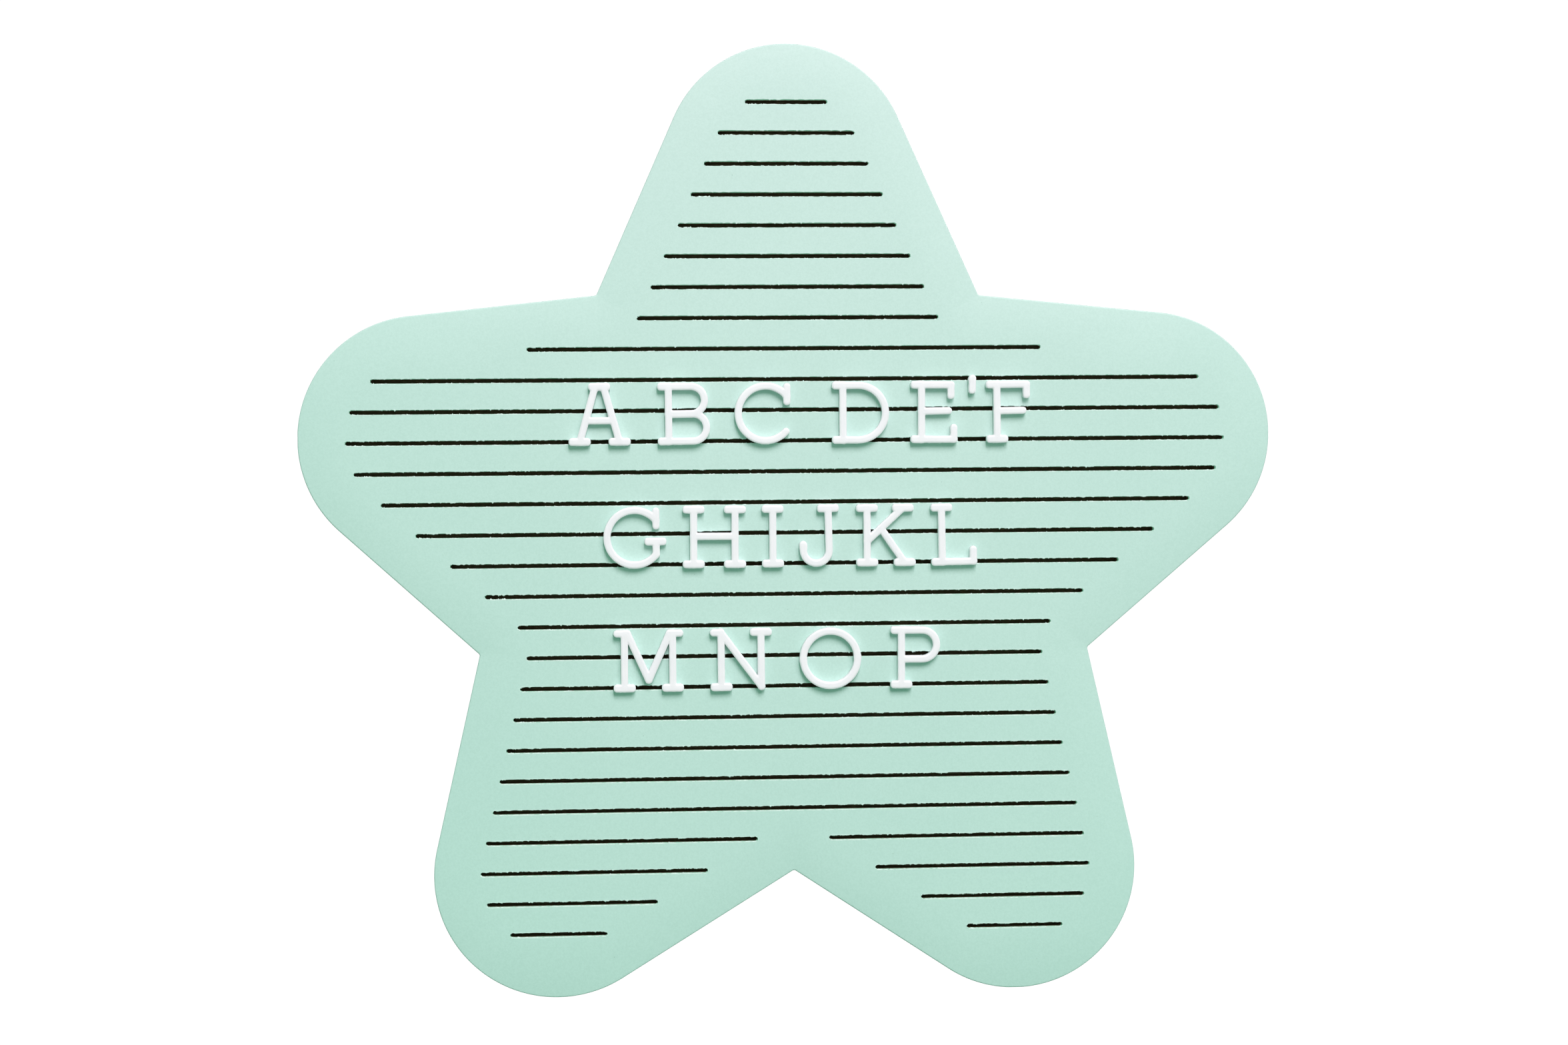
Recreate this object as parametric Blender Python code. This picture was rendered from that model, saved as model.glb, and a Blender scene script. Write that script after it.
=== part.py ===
"""Star-shaped letter board for a wall: a grooved, painted board with push-in letters.

Metres, +Z up. The face looks along -Y and the wall is the plane y = 0.
The origin is the middle notch of the hanger on the back, where the wall nail sits.
"""
import math

import bmesh
import bpy
import numpy as np
from mathutils import Matrix, Vector
from mathutils.geometry import delaunay_2d_cdt

MM = 0.001

# ---- driving dimensions, in millimetres ---------------------------------------
# Star outline, from the star's centre. The arms aren't quite alike. For each, clockwise
# from the top: the distance and direction of its round tip's centre, then those of the
# inner corner that follows it (degrees clockwise from straight up).
ARMS = (
    (120.4, 0.3, 100.5, 36.8),
    (119.7, 72.0, 98.4, 107.6),
    (121.0, 144.4, 98.0, 179.3),
    (121.9, 216.3, 99.9, 252.7),
    (118.2, 288.2, 99.8, 324.1),
)
TIP_RADIUS = 38.0
CORNER_FILLET = 0.9
TIP_STEPS = 18            # facets on each round tip

BOARD_T = 9.5
STAND_OFF = 2.5           # hanger depth between the board's back and the wall

# grooves
PITCH = 9.525             # 3/8 inch between rows
ROWS = 28
TOP_ROW = 140.42          # height of the highest groove above the star's centre
GROOVE_W = 1.3
GROOVE_D = 5.5
GROOVE_INSET = 14.25      # from the outline to the groove's end
GROOVE_END_STEPS = 4

# letters
CAP_H = 16.9              # between centre lines of the top and foot strokes
STROKE = 2.1
SERIF = 2.3               # stroke width of a serif
SERIF_L = 6.7             # its overall length
LETTER_T = 2.0
PRONG_T = 0.7
PRONG_L = 2.8
PRONG_D = 4.6
GAP = 0.3                 # between pieces that rest on each other

# hanger: a strip with two flat tabs, two ramps and a raised middle
HANGER_ROW_Z = 97.56      # strip's centre line above the star's centre
HANGER_L = 46.0
HANGER_H = 9.5
HANGER_SHEET = 0.6
RAMP_OUT = 15.5
RAMP_IN = 13.9
TOOTH_D = 1.7
TOOTH_W = 2.6
TEETH = 7
NAIL_X = 19.2
NAIL_HOLE_R = 0.95
NAIL_R = 0.6
NAIL_HEAD_R = 1.7
NAIL_HEAD_T = 0.5
NAIL_IN_BOARD = 6.5

NOTCH_Z = HANGER_ROW_Z - HANGER_H / 2 + TOOTH_D   # wall nail, above the star's centre

Y_BACK = -STAND_OFF                 # board's back
Y_FACE = Y_BACK - BOARD_T           # board's painted face


def to_frame(x, z):
    """Millimetres from the star's centre to millimetres from the hanger's notch."""
    return x, z - NOTCH_Z


# ---- scene and materials --------------------------------------------------------
for ob in list(bpy.data.objects):
    bpy.data.objects.remove(ob, do_unlink=True)


def make_material(name, colour, roughness, metallic=0.0):
    m = bpy.data.materials.new(name)
    m.use_nodes = True
    b = m.node_tree.nodes["Principled BSDF"]
    b.inputs["Base Color"].default_value = (*colour, 1.0)
    b.inputs["Roughness"].default_value = roughness
    b.inputs["Metallic"].default_value = metallic
    return m


MINT = make_material("mint_paint", (0.53, 0.80, 0.70), 0.55)
STEEL = make_material("hanger_steel", (0.62, 0.60, 0.55), 0.35, 1.0)
NAIL_STEEL = make_material("nail_steel", (0.70, 0.66, 0.50), 0.35, 1.0)


def add_object(name, bm, material):
    me = bpy.data.meshes.new(name)
    bm.to_mesh(me)
    bm.free()
    ob = bpy.data.objects.new(name, me)
    bpy.context.scene.collection.objects.link(ob)
    if material is not None:
        me.materials.append(material)
    return ob


def hide_cutter(ob):
    ob.hide_render = True
    ob.display_type = 'WIRE'
    return ob


# ---- flat shapes ----------------------------------------------------------------
def region_triangles(adds, cuts=(), marks=()):
    """Triangles of the union of the polygons in adds, less those in cuts.

    Polygons in marks draw their edges into it: each triangle comes with the set of
    marks that it lies in.
    """
    polys = list(adds) + list(cuts) + list(marks)
    n_add, n_cut = len(adds), len(cuts)
    verts, faces = [], []
    for poly in polys:
        start = len(verts)
        verts.extend(Vector(p) for p in poly)
        faces.append(list(range(start, len(verts))))
    out_v, _, out_f, _, _, origin = delaunay_2d_cdt(verts, [], faces, 1, 1e-5)
    tris = []
    for f, src in zip(out_f, origin):
        if not any(i < n_add for i in src):
            continue
        if any(n_add <= i < n_add + n_cut for i in src):
            continue
        tris.append((f, frozenset(i - n_add - n_cut for i in src if i >= n_add + n_cut)))
    return out_v, tris


def slab_from_triangles(verts, tris, y_front, y_back, x0, z0, prong_depth=0.0):
    """Close a flat region into a slab; marked triangles run back prong_depth more.

    y_front and y_back are numbers, or functions of x. The front looks along -Y.
    """
    yf = y_front if callable(y_front) else (lambda x: y_front)
    yb = y_back if callable(y_back) else (lambda x: y_back)
    bm = bmesh.new()
    used = sorted({i for f, _ in tris for i in f})
    front = {i: bm.verts.new(((verts[i].x + x0) * MM, yf(verts[i].x) * MM, (verts[i].y + z0) * MM)) for i in used}
    back = {i: bm.verts.new(((verts[i].x + x0) * MM, yb(verts[i].x) * MM, (verts[i].y + z0) * MM)) for i in used}
    marked = []
    count = {}
    for f, marks in tris:
        bm.faces.new([front[i] for i in f])
        bk = bm.faces.new([back[i] for i in reversed(f)])
        if marks:
            marked.append(bk)
        for a, b in zip(f, list(f[1:]) + [f[0]]):
            count[(a, b)] = count.get((a, b), 0) + 1
    for a, b in count:
        if (b, a) not in count:
            bm.faces.new([front[b], front[a], back[a], back[b]])
    if marked and prong_depth:
        made = bmesh.ops.extrude_face_region(bm, geom=marked)
        tips = [g for g in made["geom"] if isinstance(g, bmesh.types.BMVert)]
        bmesh.ops.translate(bm, verts=tips, vec=(0, prong_depth * MM, 0))
        left = [f for f in marked if f.is_valid]
        if left:
            bmesh.ops.delete(bm, geom=left, context='FACES_ONLY')
    bmesh.ops.recalc_face_normals(bm, faces=bm.faces)
    return bm


def tidy(bm):
    """Merge the flat faces, then triangulate again with few triangles."""
    bmesh.ops.dissolve_limit(bm, angle_limit=math.radians(0.5), verts=bm.verts, edges=bm.edges,
                             use_dissolve_boundaries=False)
    bmesh.ops.triangulate(bm, faces=bm.faces, quad_method='BEAUTY', ngon_method='BEAUTY')
    bmesh.ops.recalc_face_normals(bm, faces=bm.faces)
    return bm


def capsule(ax, az, bx, bz, width, steps=4):
    """Outline of a straight stroke with round ends, counter-clockwise."""
    r = width / 2
    ang = math.atan2(bz - az, bx - ax)
    pts = []
    for cx, cz, start in ((bx, bz, ang - math.pi / 2), (ax, az, ang + math.pi / 2)):
        for i in range(2 * steps + 1):
            t = start + math.pi * i / (2 * steps)
            pts.append((cx + r * math.cos(t), cz + r * math.sin(t)))
    return pts


def sweep_outline(line, width, steps=3):
    """Outline of a bent stroke with round ends, along a smooth open line."""
    r = width / 2
    n = len(line)
    left, right = [], []
    for i in range(n):
        a = line[max(i - 1, 0)]
        b = line[min(i + 1, n - 1)]
        ang = math.atan2(b[1] - a[1], b[0] - a[0])
        nx, nz = -math.sin(ang), math.cos(ang)
        left.append((line[i][0] + r * nx, line[i][1] + r * nz))
        right.append((line[i][0] - r * nx, line[i][1] - r * nz))
    pts = list(right)
    ang = math.atan2(line[-1][1] - line[-2][1], line[-1][0] - line[-2][0])
    for i in range(1, 2 * steps):
        t = ang - math.pi / 2 + math.pi * i / (2 * steps)
        pts.append((line[-1][0] + r * math.cos(t), line[-1][1] + r * math.sin(t)))
    pts += list(reversed(left))
    ang = math.atan2(line[0][1] - line[1][1], line[0][0] - line[1][0])
    for i in range(1, 2 * steps):
        t = ang - math.pi / 2 + math.pi * i / (2 * steps)
        pts.append((line[0][0] + r * math.cos(t), line[0][1] + r * math.sin(t)))
    return pts


# ---- letter shapes --------------------------------------------------------------
def arc(cx, cz, r, a0, a1, steps):
    """Points on an arc, angles in degrees from +X."""
    return [(cx + r * math.cos(math.radians(a0 + (a1 - a0) * i / steps)),
             cz + r * math.sin(math.radians(a0 + (a1 - a0) * i / steps))) for i in range(steps + 1)]


def bar(ax, az, bx, bz, width=STROKE):
    return ([(ax, az), (bx, bz)], width)


def serif(x, z):
    """A full serif, SERIF_L long, centred at x."""
    h = (SERIF_L - SERIF) / 2
    return bar(x - h, z, x + h, z, SERIF)


def half_serif(x, z, side):
    """A serif that runs out to one side only."""
    return bar(x, z, x + side * (SERIF_L - SERIF) / 2, z, SERIF)


def bend(points, width=STROKE):
    return (points, width)


def glyphs():
    """Centre lines of each letter's strokes. x = 0 is the letter's middle, z = 0 its foot."""
    h = CAP_H
    bowl_mid = 8.4
    g = {}
    g["A"] = [bar(-1.3, h, -6.1, 0), bar(1.3, h, 6.1, 0), bar(-4.0, 6.5, 4.0, 6.5),
              serif(0, h), serif(-6.15, 0), serif(6.15, 0)]
    rb = (h - bowl_mid) / 2
    rl = bowl_mid / 2
    sx = -4.9
    g["B"] = [bar(sx, 0, sx, h), half_serif(sx, h, -1), half_serif(sx, 0, -1),
              bend([(sx, h)] + arc(2.0, h - rb, rb, 90, -90, 10) + [(sx, bowl_mid)]),
              bend([(sx, bowl_mid)] + arc(2.6, rl, rl, 90, -90, 10) + [(sx, 0)])]
    ro = h / 2
    g["C"] = [bend(arc(-0.3, ro, ro, 38, 318, 26)),
              bar(-0.3 + ro * math.cos(math.radians(38)), 12.0, -0.3 + ro * math.cos(math.radians(38)), 16.6)]
    sd = -5.4
    g["D"] = [bar(sd, 0, sd, h), half_serif(sd, h, -1), half_serif(sd, 0, -1),
              bend([(sd, h)] + arc(-0.6, ro, ro, 90, -90, 16) + [(sd, 0)])]
    se = -3.9
    g["E"] = [bar(se, 0, se, h), half_serif(se, h, -1), half_serif(se, 0, -1),
              bar(se, h, 5.3, h), bar(5.3, h, 5.3, h - 3.3),
              bar(se, 8.7, 4.5, 8.9),
              bar(se, 0, 6.2, 0), bar(6.2, 0, 6.2, 3.6)]
    sf = -3.5
    g["F"] = [bar(sf, 0, sf, h), half_serif(sf, h, -1), serif(sf, 0),
              bar(sf, h, 5.8, h), bar(5.8, h, 5.8, h - 3.3), bar(sf, 8.7, 4.6, 8.8)]
    gx = -0.3 + ro * math.cos(math.radians(38))
    g["G"] = [bend(arc(-0.3, ro, ro, 38, 322, 26)), bar(gx, 12.0, gx, 16.6),
              bar(gx, 3.2, gx, 7.2), bar(gx - 2.4, 7.2, gx + 2.0, 7.2, SERIF)]
    g["H"] = [bar(-6.4, 0, -6.4, h), bar(6.4, 0, 6.4, h), bar(-6.4, 8.6, 6.4, 8.6),
              serif(-6.4, 0), serif(6.4, 0), serif(-6.4, h), serif(6.4, h)]
    g["I"] = [bar(0, 0, 0, h), serif(0, 0), serif(0, h)]
    g["J"] = [bend([(2.8, h), (2.8, 11.0)] + arc(-1.2, 4.0, 4.0, 0, -180, 12) + [(-5.2, 5.4)]),
              serif(2.8, h), bar(-5.2, 4.9, -5.2, 5.8, SERIF)]
    g["K"] = [bar(-5.6, 0, -5.6, h), serif(-5.6, 0), serif(-5.6, h),
              bar(5.6, h, -5.6, 6.6), bar(-1.3, 10.6, 6.0, 0), serif(5.6, h), serif(6.1, 0)]
    sl = -3.75
    g["L"] = [bar(sl, 0, sl, h), serif(sl, h), half_serif(sl, 0, -1),
              bar(sl, 0, 6.0, 0), bar(6.0, 0, 6.0, 3.7)]
    g["M"] = [bar(-7.45, 0, -7.45, h), bar(7.45, 0, 7.45, h),
              bar(-6.5, h, 0, 2.5), bar(6.5, h, 0, 2.5),
              bar(-9.7, h, -6.5, h), bar(9.7, h, 6.5, h), serif(-7.45, 0), serif(7.45, 0)]
    g["N"] = [bar(-6.2, 0, -6.2, h), bar(6.2, 0, 6.2, h), bar(-6.2, h, 6.2, 0),
              bar(-8.5, h, -6.2, h), serif(-6.2, 0), serif(6.2, h)]
    g["O"] = [bend(arc(0, ro, ro, 0, 184, 20)), bend(arc(0, ro, ro, 180, 364, 20))]
    sp = -4.3
    g["P"] = [bar(sp, 0, sp, h), half_serif(sp, h, -1), serif(sp, 0),
              bend([(sp, h)] + arc(2.2, h - 4.5, 4.5, 90, -90, 12) + [(sp, h - 9.0)])]
    g["mark"] = [bar(0, 0, 0.15, 3.7)]
    return g


GLYPHS = glyphs()

# rows of pieces: (groove under the foot, [(glyph, middle in mm from the star's centre, tilt in degrees)])
ROW_ONE = (11, [("A", -57.9, 0.0), ("B", -31.7, 0.3), ("C", -6.35, 0.0), ("D", 22.8, 0.0),
                ("E", 45.75, -0.4), ("F", 69.1, 0.3)])
ROW_TWO_SPAN = (-57.0, 58.9)
ROW_TWO = (15, [("G", 0.0), ("H", -0.3), ("I", 0.0), ("J", 1.3), ("K", 0.0), ("L", 0.7)])
ROW_THREE = (19, [("M", -43.5, 0.0), ("N", -14.8, 0.3), ("O", 12.9, 0.0), ("P", 39.3, -0.4)])
MARK = (9, 57.8, -3.9)    # groove behind the small mark, its middle, its foot below that groove


def groove_z(k):
    return TOP_ROW - PITCH * k


def stroke_polygons(strokes):
    polys = []
    for line, width in strokes:
        if len(line) == 2:
            polys.append(capsule(*line[0], *line[1], width))
        else:
            polys.append(sweep_outline(line, width))
    return polys


def extent(strokes):
    xs = [x + s * w / 2 for line, w in strokes for x, _ in line for s in (-1, 1)]
    return min(xs), max(xs)


def covered(strokes, x, z, margin=0.0):
    """Whether a point lies inside a stroke by at least margin."""
    for line, width in strokes:
        for (ax, az), (bx, bz) in zip(line, line[1:]):
            dx, dz = bx - ax, bz - az
            ll = dx * dx + dz * dz
            t = 0.0 if ll == 0 else max(0.0, min(1.0, ((x - ax) * dx + (z - az) * dz) / ll))
            if math.hypot(x - ax - t * dx, z - az - t * dz) <= width / 2 - margin:
                return True
    return False


def prong_boxes(strokes, z):
    """Places for prongs on the strokes that cross height z: at most the outer two."""
    step = 0.1
    lo, hi = extent(strokes)
    half = PRONG_T / 2
    runs, start = [], None
    n = int((hi - lo) / step) + 2
    for i in range(n + 1):
        x = lo + i * step
        inside = i < n and covered(strokes, x, z - half, 0.2) and covered(strokes, x, z + half, 0.2)
        if inside and start is None:
            start = x
        if not inside and start is not None:
            runs.append((start, x - step))
            start = None
    runs = [r for r in runs if r[1] - r[0] >= 0.9]
    if len(runs) > 2:
        runs = [runs[0], runs[-1]]
    boxes = []
    for a, b in runs:
        c = (a + b) / 2
        h = min(PRONG_L, b - a) / 2
        boxes.append([(c - h, z - half), (c + h, z - half), (c + h, z + half), (c - h, z + half)])
    return boxes


def make_letter(name, glyph, x_mid, z_foot, tilt, prong_heights, material):
    strokes = GLYPHS[glyph]
    polys = stroke_polygons(strokes)
    prongs = [b for z in prong_heights for b in prong_boxes(strokes, z)]
    verts, tris = region_triangles(polys, (), prongs)
    y_b = Y_FACE - GAP
    y_f = y_b - LETTER_T
    bm = slab_from_triangles(verts, tris, y_f, y_b, 0, 0, PRONG_D)
    tidy(bm)
    x, z = to_frame(x_mid, z_foot)
    turn = Matrix.Rotation(-math.radians(tilt), 4, 'Y')
    bmesh.ops.transform(bm, matrix=Matrix.Translation((x * MM, 0, z * MM)) @ turn, verts=bm.verts)
    return add_object(name, bm, material)


def make_letters():
    placed = []
    k, items = ROW_ONE
    placed += [(g, x, k, t) for g, x, t in items]
    k, items = ROW_TWO
    sizes = [extent(GLYPHS[g]) for g, _ in items]
    total = sum(b - a for a, b in sizes)
    gap = (ROW_TWO_SPAN[1] - ROW_TWO_SPAN[0] - total) / (len(items) - 1)
    x = ROW_TWO_SPAN[0]
    for (g, t), (a, b) in zip(items, sizes):
        placed.append((g, x - a, k, t))
        x += b - a + gap
    k, items = ROW_THREE
    placed += [(g, x, k, t) for g, x, t in items]
    for g, x, k, t in placed:
        white = make_material("letter_white_" + g, (0.93, 0.93, 0.92), 0.4)
        make_letter("letter_" + g, g, x, groove_z(k), t, (0.0, PITCH), white)
    k, x, drop = MARK
    white = make_material("letter_white_mark", (0.93, 0.93, 0.92), 0.4)
    make_letter("apostrophe", "mark", x, groove_z(k) + drop, 0.0, (-drop,), white)


# ---- the board ------------------------------------------------------------------
def star_outline():
    """The star's outline, clockwise from the top arm, in mm from its centre."""
    def polar(r, degrees):
        t = math.radians(degrees)
        return r * math.sin(t), r * math.cos(t)

    tips = [polar(a[0], a[1]) for a in ARMS]
    corners = [polar(a[2], a[3]) for a in ARMS]
    touch = []                                 # where each arm's two flanks meet its round tip
    for k, (tx, tz) in enumerate(tips):
        pair = []
        for (cx, cz), side in ((corners[k - 1], 1), (corners[k], -1)):
            dist = math.hypot(tx - cx, tz - cz)
            run = math.sqrt(dist * dist - TIP_RADIUS * TIP_RADIUS)
            t = math.atan2(tz - cz, tx - cx) + side * math.asin(TIP_RADIUS / dist)
            pair.append((cx + run * math.cos(t), cz + run * math.sin(t)))
        touch.append(pair)
    pts = []
    for k, (tx, tz) in enumerate(tips):
        (ax, az), (bx, bz) = touch[k]
        t0 = math.atan2(az - tz, ax - tx)
        sweep = (t0 - math.atan2(bz - tz, bx - tx)) % (2 * math.pi)
        for i in range(TIP_STEPS + 1):
            t = t0 - sweep * i / TIP_STEPS
            pts.append((tx + TIP_RADIUS * math.cos(t), tz + TIP_RADIUS * math.sin(t)))
        # the inner corner after this arm, rounded by a small fillet
        cx, cz = corners[k]
        nx, nz = touch[(k + 1) % len(ARMS)][0]
        d1, d2 = math.hypot(bx - cx, bz - cz), math.hypot(nx - cx, nz - cz)
        u = ((bx - cx) / d1, (bz - cz) / d1)
        w = ((nx - cx) / d2, (nz - cz) / d2)
        opening = math.acos(u[0] * w[0] + u[1] * w[1]) / 2
        size = math.hypot(u[0] + w[0], u[1] + w[1])
        n = ((u[0] + w[0]) / size, (u[1] + w[1]) / size)
        fx = cx + n[0] * CORNER_FILLET / math.sin(opening)
        fz = cz + n[1] * CORNER_FILLET / math.sin(opening)
        tangent = CORNER_FILLET / math.tan(opening)
        a0 = math.atan2(cz + u[1] * tangent - fz, cx + u[0] * tangent - fx)
        mid = math.atan2(-n[1], -n[0])
        swing = (a0 - mid + math.pi) % (2 * math.pi) - math.pi
        for i in range(4 + 1):
            t = mid + swing * (1 - 2 * i / 4)
            pts.append((fx + CORNER_FILLET * math.cos(t), fz + CORNER_FILLET * math.sin(t)))
    return pts


OUTLINE = star_outline()


def inside_distance(x, z):
    """Distance to the outline for arrays of points, negative outside it."""
    p = np.array(OUTLINE)
    q = np.roll(p, -1, axis=0)
    x, z = np.asarray(x, float), np.asarray(z, float)
    best = np.full(x.shape, 1e9)
    inside = np.zeros(x.shape, bool)
    for (ax, az), (bx, bz) in zip(p, q):
        dx, dz = bx - ax, bz - az
        t = np.clip(((x - ax) * dx + (z - az) * dz) / (dx * dx + dz * dz), 0, 1)
        best = np.minimum(best, np.hypot(x - ax - t * dx, z - az - t * dz))
        cross = (az > z) != (bz > z)
        if abs(dz) > 1e-12:
            inside ^= cross & (x < ax + (z - az) * dx / dz)
    return np.where(inside, best, -best)


def groove_runs():
    """Each groove as (left, right, height), from the inset rule."""
    xs = np.arange(-160.0, 160.0, 0.1)
    runs = []
    for k in range(ROWS):
        z = groove_z(k)
        ok = inside_distance(xs, np.full(xs.shape, z)) >= GROOVE_INSET
        edge = np.flatnonzero(np.diff(np.concatenate(([0], ok.astype(int), [0]))))
        for a, b in zip(edge[::2], edge[1::2]):
            if xs[b - 1] - xs[a] > 6:
                runs.append((float(xs[a]), float(xs[b - 1]), z))
    return runs


def prism(outline, y0, y1):
    """A closed prism between two depths, from an outline in mm from the star's centre."""
    bm = bmesh.new()
    ring = [bm.verts.new((to_frame(x, z)[0] * MM, y0 * MM, to_frame(x, z)[1] * MM)) for x, z in outline]
    face = bm.faces.new(ring)
    made = bmesh.ops.extrude_face_region(bm, geom=[face])
    tips = [g for g in made["geom"] if isinstance(g, bmesh.types.BMVert)]
    bmesh.ops.translate(bm, verts=tips, vec=(0, (y1 - y0) * MM, 0))
    bmesh.ops.recalc_face_normals(bm, faces=bm.faces)
    return bm


def make_board():
    board = add_object("star_board", prism(OUTLINE, Y_FACE, Y_BACK), MINT)
    cuts = bmesh.new()
    for a, b, z in groove_runs():
        r = GROOVE_W / 2
        one = prism(capsule(a + r, z, b - r, z, GROOVE_W, GROOVE_END_STEPS), Y_FACE - 2.0, Y_FACE + GROOVE_D)
        tmp = bpy.data.meshes.new("groove")
        one.to_mesh(tmp)
        one.free()
        cuts.from_mesh(tmp)
        bpy.data.meshes.remove(tmp)
    for sx in (-1, 1):
        x, z = to_frame(sx * NAIL_X, HANGER_ROW_Z)
        place = Matrix.Translation((x * MM, (Y_BACK - NAIL_IN_BOARD / 2) * MM, z * MM)) @ Matrix.Rotation(math.pi / 2, 4, 'X')
        bmesh.ops.create_cone(cuts, cap_ends=True, segments=12, radius1=NAIL_HOLE_R * MM, radius2=NAIL_HOLE_R * MM,
                              depth=(NAIL_IN_BOARD + 1.6) * MM, matrix=place)
    cutter = hide_cutter(add_object("board_cutter", cuts, None))
    mod = board.modifiers.new("grooves_and_holes", 'BOOLEAN')
    mod.operation = 'DIFFERENCE'
    mod.solver = 'EXACT'
    mod.object = cutter
    return board


# ---- hanger and nails -----------------------------------------------------------
def make_hanger():
    """Stamped flat, with round ends, nail holes and teeth, then bent at four lines."""
    r = HANGER_H / 2
    end = HANGER_L / 2 - r
    top = [(end + r * math.sin(math.pi * i / 8), r * math.cos(math.pi * i / 8)) for i in range(9)]
    teeth = []
    for i in range(TEETH):
        x = (TEETH / 2 - i) * TOOTH_W
        teeth += [(x - 0.2, -r), (x - TOOTH_W / 2 + 0.25, -r + TOOTH_D), (x - TOOTH_W / 2 - 0.25, -r + TOOTH_D),
                  (x - TOOTH_W + 0.2, -r)]
    left = [(-end - r * math.sin(math.pi * i / 8), -r * math.cos(math.pi * i / 8)) for i in range(9)]
    outline = top + teeth + left
    outline.reverse()
    holes = [[(sx * NAIL_X + NAIL_HOLE_R * math.cos(2 * math.pi * i / 12),
               NAIL_HOLE_R * math.sin(2 * math.pi * i / 12)) for i in range(12)] for sx in (-1, 1)]
    strips = []
    for sx in (-1, 1):
        a, b = sorted((sx * RAMP_IN, sx * RAMP_OUT))
        strips.append([(a, -r - 1), (b, -r - 1), (b, r + 1), (a, r + 1)])
    verts, tris = region_triangles([outline], holes, strips)
    tab_y = Y_BACK + GAP
    rise = -HANGER_SHEET - tab_y

    def front(x):
        t = max(0.0, min(1.0, (RAMP_OUT - abs(x)) / (RAMP_OUT - RAMP_IN)))
        return tab_y + rise * t

    def back(x):
        return front(x) + HANGER_SHEET

    x0, z0 = to_frame(0.0, HANGER_ROW_Z)
    bm = slab_from_triangles(verts, tris, front, back, x0, z0)
    return add_object("sawtooth_hanger", bm, STEEL)


def make_nail(name, sx):
    """A small nail, point into the board, turned about the Y axis."""
    head_y = Y_BACK + GAP + HANGER_SHEET + GAP
    profile = [(0.0, head_y + NAIL_HEAD_T), (NAIL_HEAD_R * 0.7, head_y + NAIL_HEAD_T - 0.05),
               (NAIL_HEAD_R, head_y + NAIL_HEAD_T * 0.45), (NAIL_HEAD_R, head_y), (NAIL_R, head_y),
               (NAIL_R, Y_BACK - NAIL_IN_BOARD + 2.2), (0.0, Y_BACK - NAIL_IN_BOARD + 0.5)]
    bm = bmesh.new()
    line = [bm.verts.new((r * MM, y * MM, 0)) for r, y in profile]
    edges = [bm.edges.new((a, b)) for a, b in zip(line, line[1:])]
    bmesh.ops.spin(bm, geom=line + edges, cent=(0, 0, 0), axis=(0, 1, 0), angle=2 * math.pi, steps=12,
                   use_merge=True)
    bmesh.ops.remove_doubles(bm, verts=bm.verts, dist=0.00001)
    bmesh.ops.recalc_face_normals(bm, faces=bm.faces)
    x, z = to_frame(sx * NAIL_X, HANGER_ROW_Z)
    bmesh.ops.translate(bm, verts=bm.verts, vec=(x * MM, 0, z * MM))
    return add_object(name, bm, NAIL_STEEL)


make_board()
make_letters()
make_hanger()
make_nail("hanger_nail_left", -1)
make_nail("hanger_nail_right", 1)
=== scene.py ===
import math
import random

import bmesh
import bpy
import numpy as np
from mathutils import Matrix, Vector
from mathutils.geometry import delaunay_2d_cdt


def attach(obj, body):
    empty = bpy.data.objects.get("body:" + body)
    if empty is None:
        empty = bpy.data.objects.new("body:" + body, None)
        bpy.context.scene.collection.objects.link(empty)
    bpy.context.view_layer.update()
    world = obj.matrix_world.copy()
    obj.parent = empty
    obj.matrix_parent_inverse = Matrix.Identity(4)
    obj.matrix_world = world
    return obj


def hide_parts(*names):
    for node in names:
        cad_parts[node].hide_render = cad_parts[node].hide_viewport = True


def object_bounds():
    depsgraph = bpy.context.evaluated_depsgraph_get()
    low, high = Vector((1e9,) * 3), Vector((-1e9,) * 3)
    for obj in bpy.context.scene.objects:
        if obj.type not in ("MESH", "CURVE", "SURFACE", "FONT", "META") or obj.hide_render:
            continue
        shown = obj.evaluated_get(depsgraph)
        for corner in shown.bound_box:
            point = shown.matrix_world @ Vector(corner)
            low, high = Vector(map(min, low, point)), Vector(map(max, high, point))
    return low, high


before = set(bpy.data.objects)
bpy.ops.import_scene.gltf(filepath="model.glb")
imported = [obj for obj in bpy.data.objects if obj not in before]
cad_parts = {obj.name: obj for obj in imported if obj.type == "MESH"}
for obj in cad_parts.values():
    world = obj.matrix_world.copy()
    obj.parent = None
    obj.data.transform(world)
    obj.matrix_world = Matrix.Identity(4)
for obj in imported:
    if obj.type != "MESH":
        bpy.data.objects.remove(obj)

CAD_BOX = [list(v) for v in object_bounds()]
MM = 0.001
RNG = random.Random(11)

# ---- the board's layout, in millimetres, as the construction has it ------------------
# each arm: distance and direction of its round tip's centre, then of the inner corner after it
ARMS = ((120.4, 0.3, 100.5, 36.8), (119.7, 72.0, 98.4, 107.6), (121.0, 144.4, 98.0, 179.3),
        (121.9, 216.3, 99.9, 252.7), (118.2, 288.2, 99.8, 324.1))
TIP_RADIUS, FILLET = 38.0, 0.9
BOARD_T, STAND_OFF = 9.5, 2.5
PITCH, ROWS, TOP_ROW = 9.525, 28, 140.42
GROOVE_W, GROOVE_D, INSET = 1.3, 5.5, 14.25
CAP_H, STROKE, SERIF, SERIF_L, SERIF_R = 16.9, 2.1, 2.3, 6.7, 0.95
LETTER_T, PRONG_T, PRONG_L, PRONG_D, GAP = 2.0, 0.7, 2.8, 4.6, 0.3
HANGER_Z, HANGER_L, HANGER_H, SHEET = 97.56, 46.0, 9.5, 0.6
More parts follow.
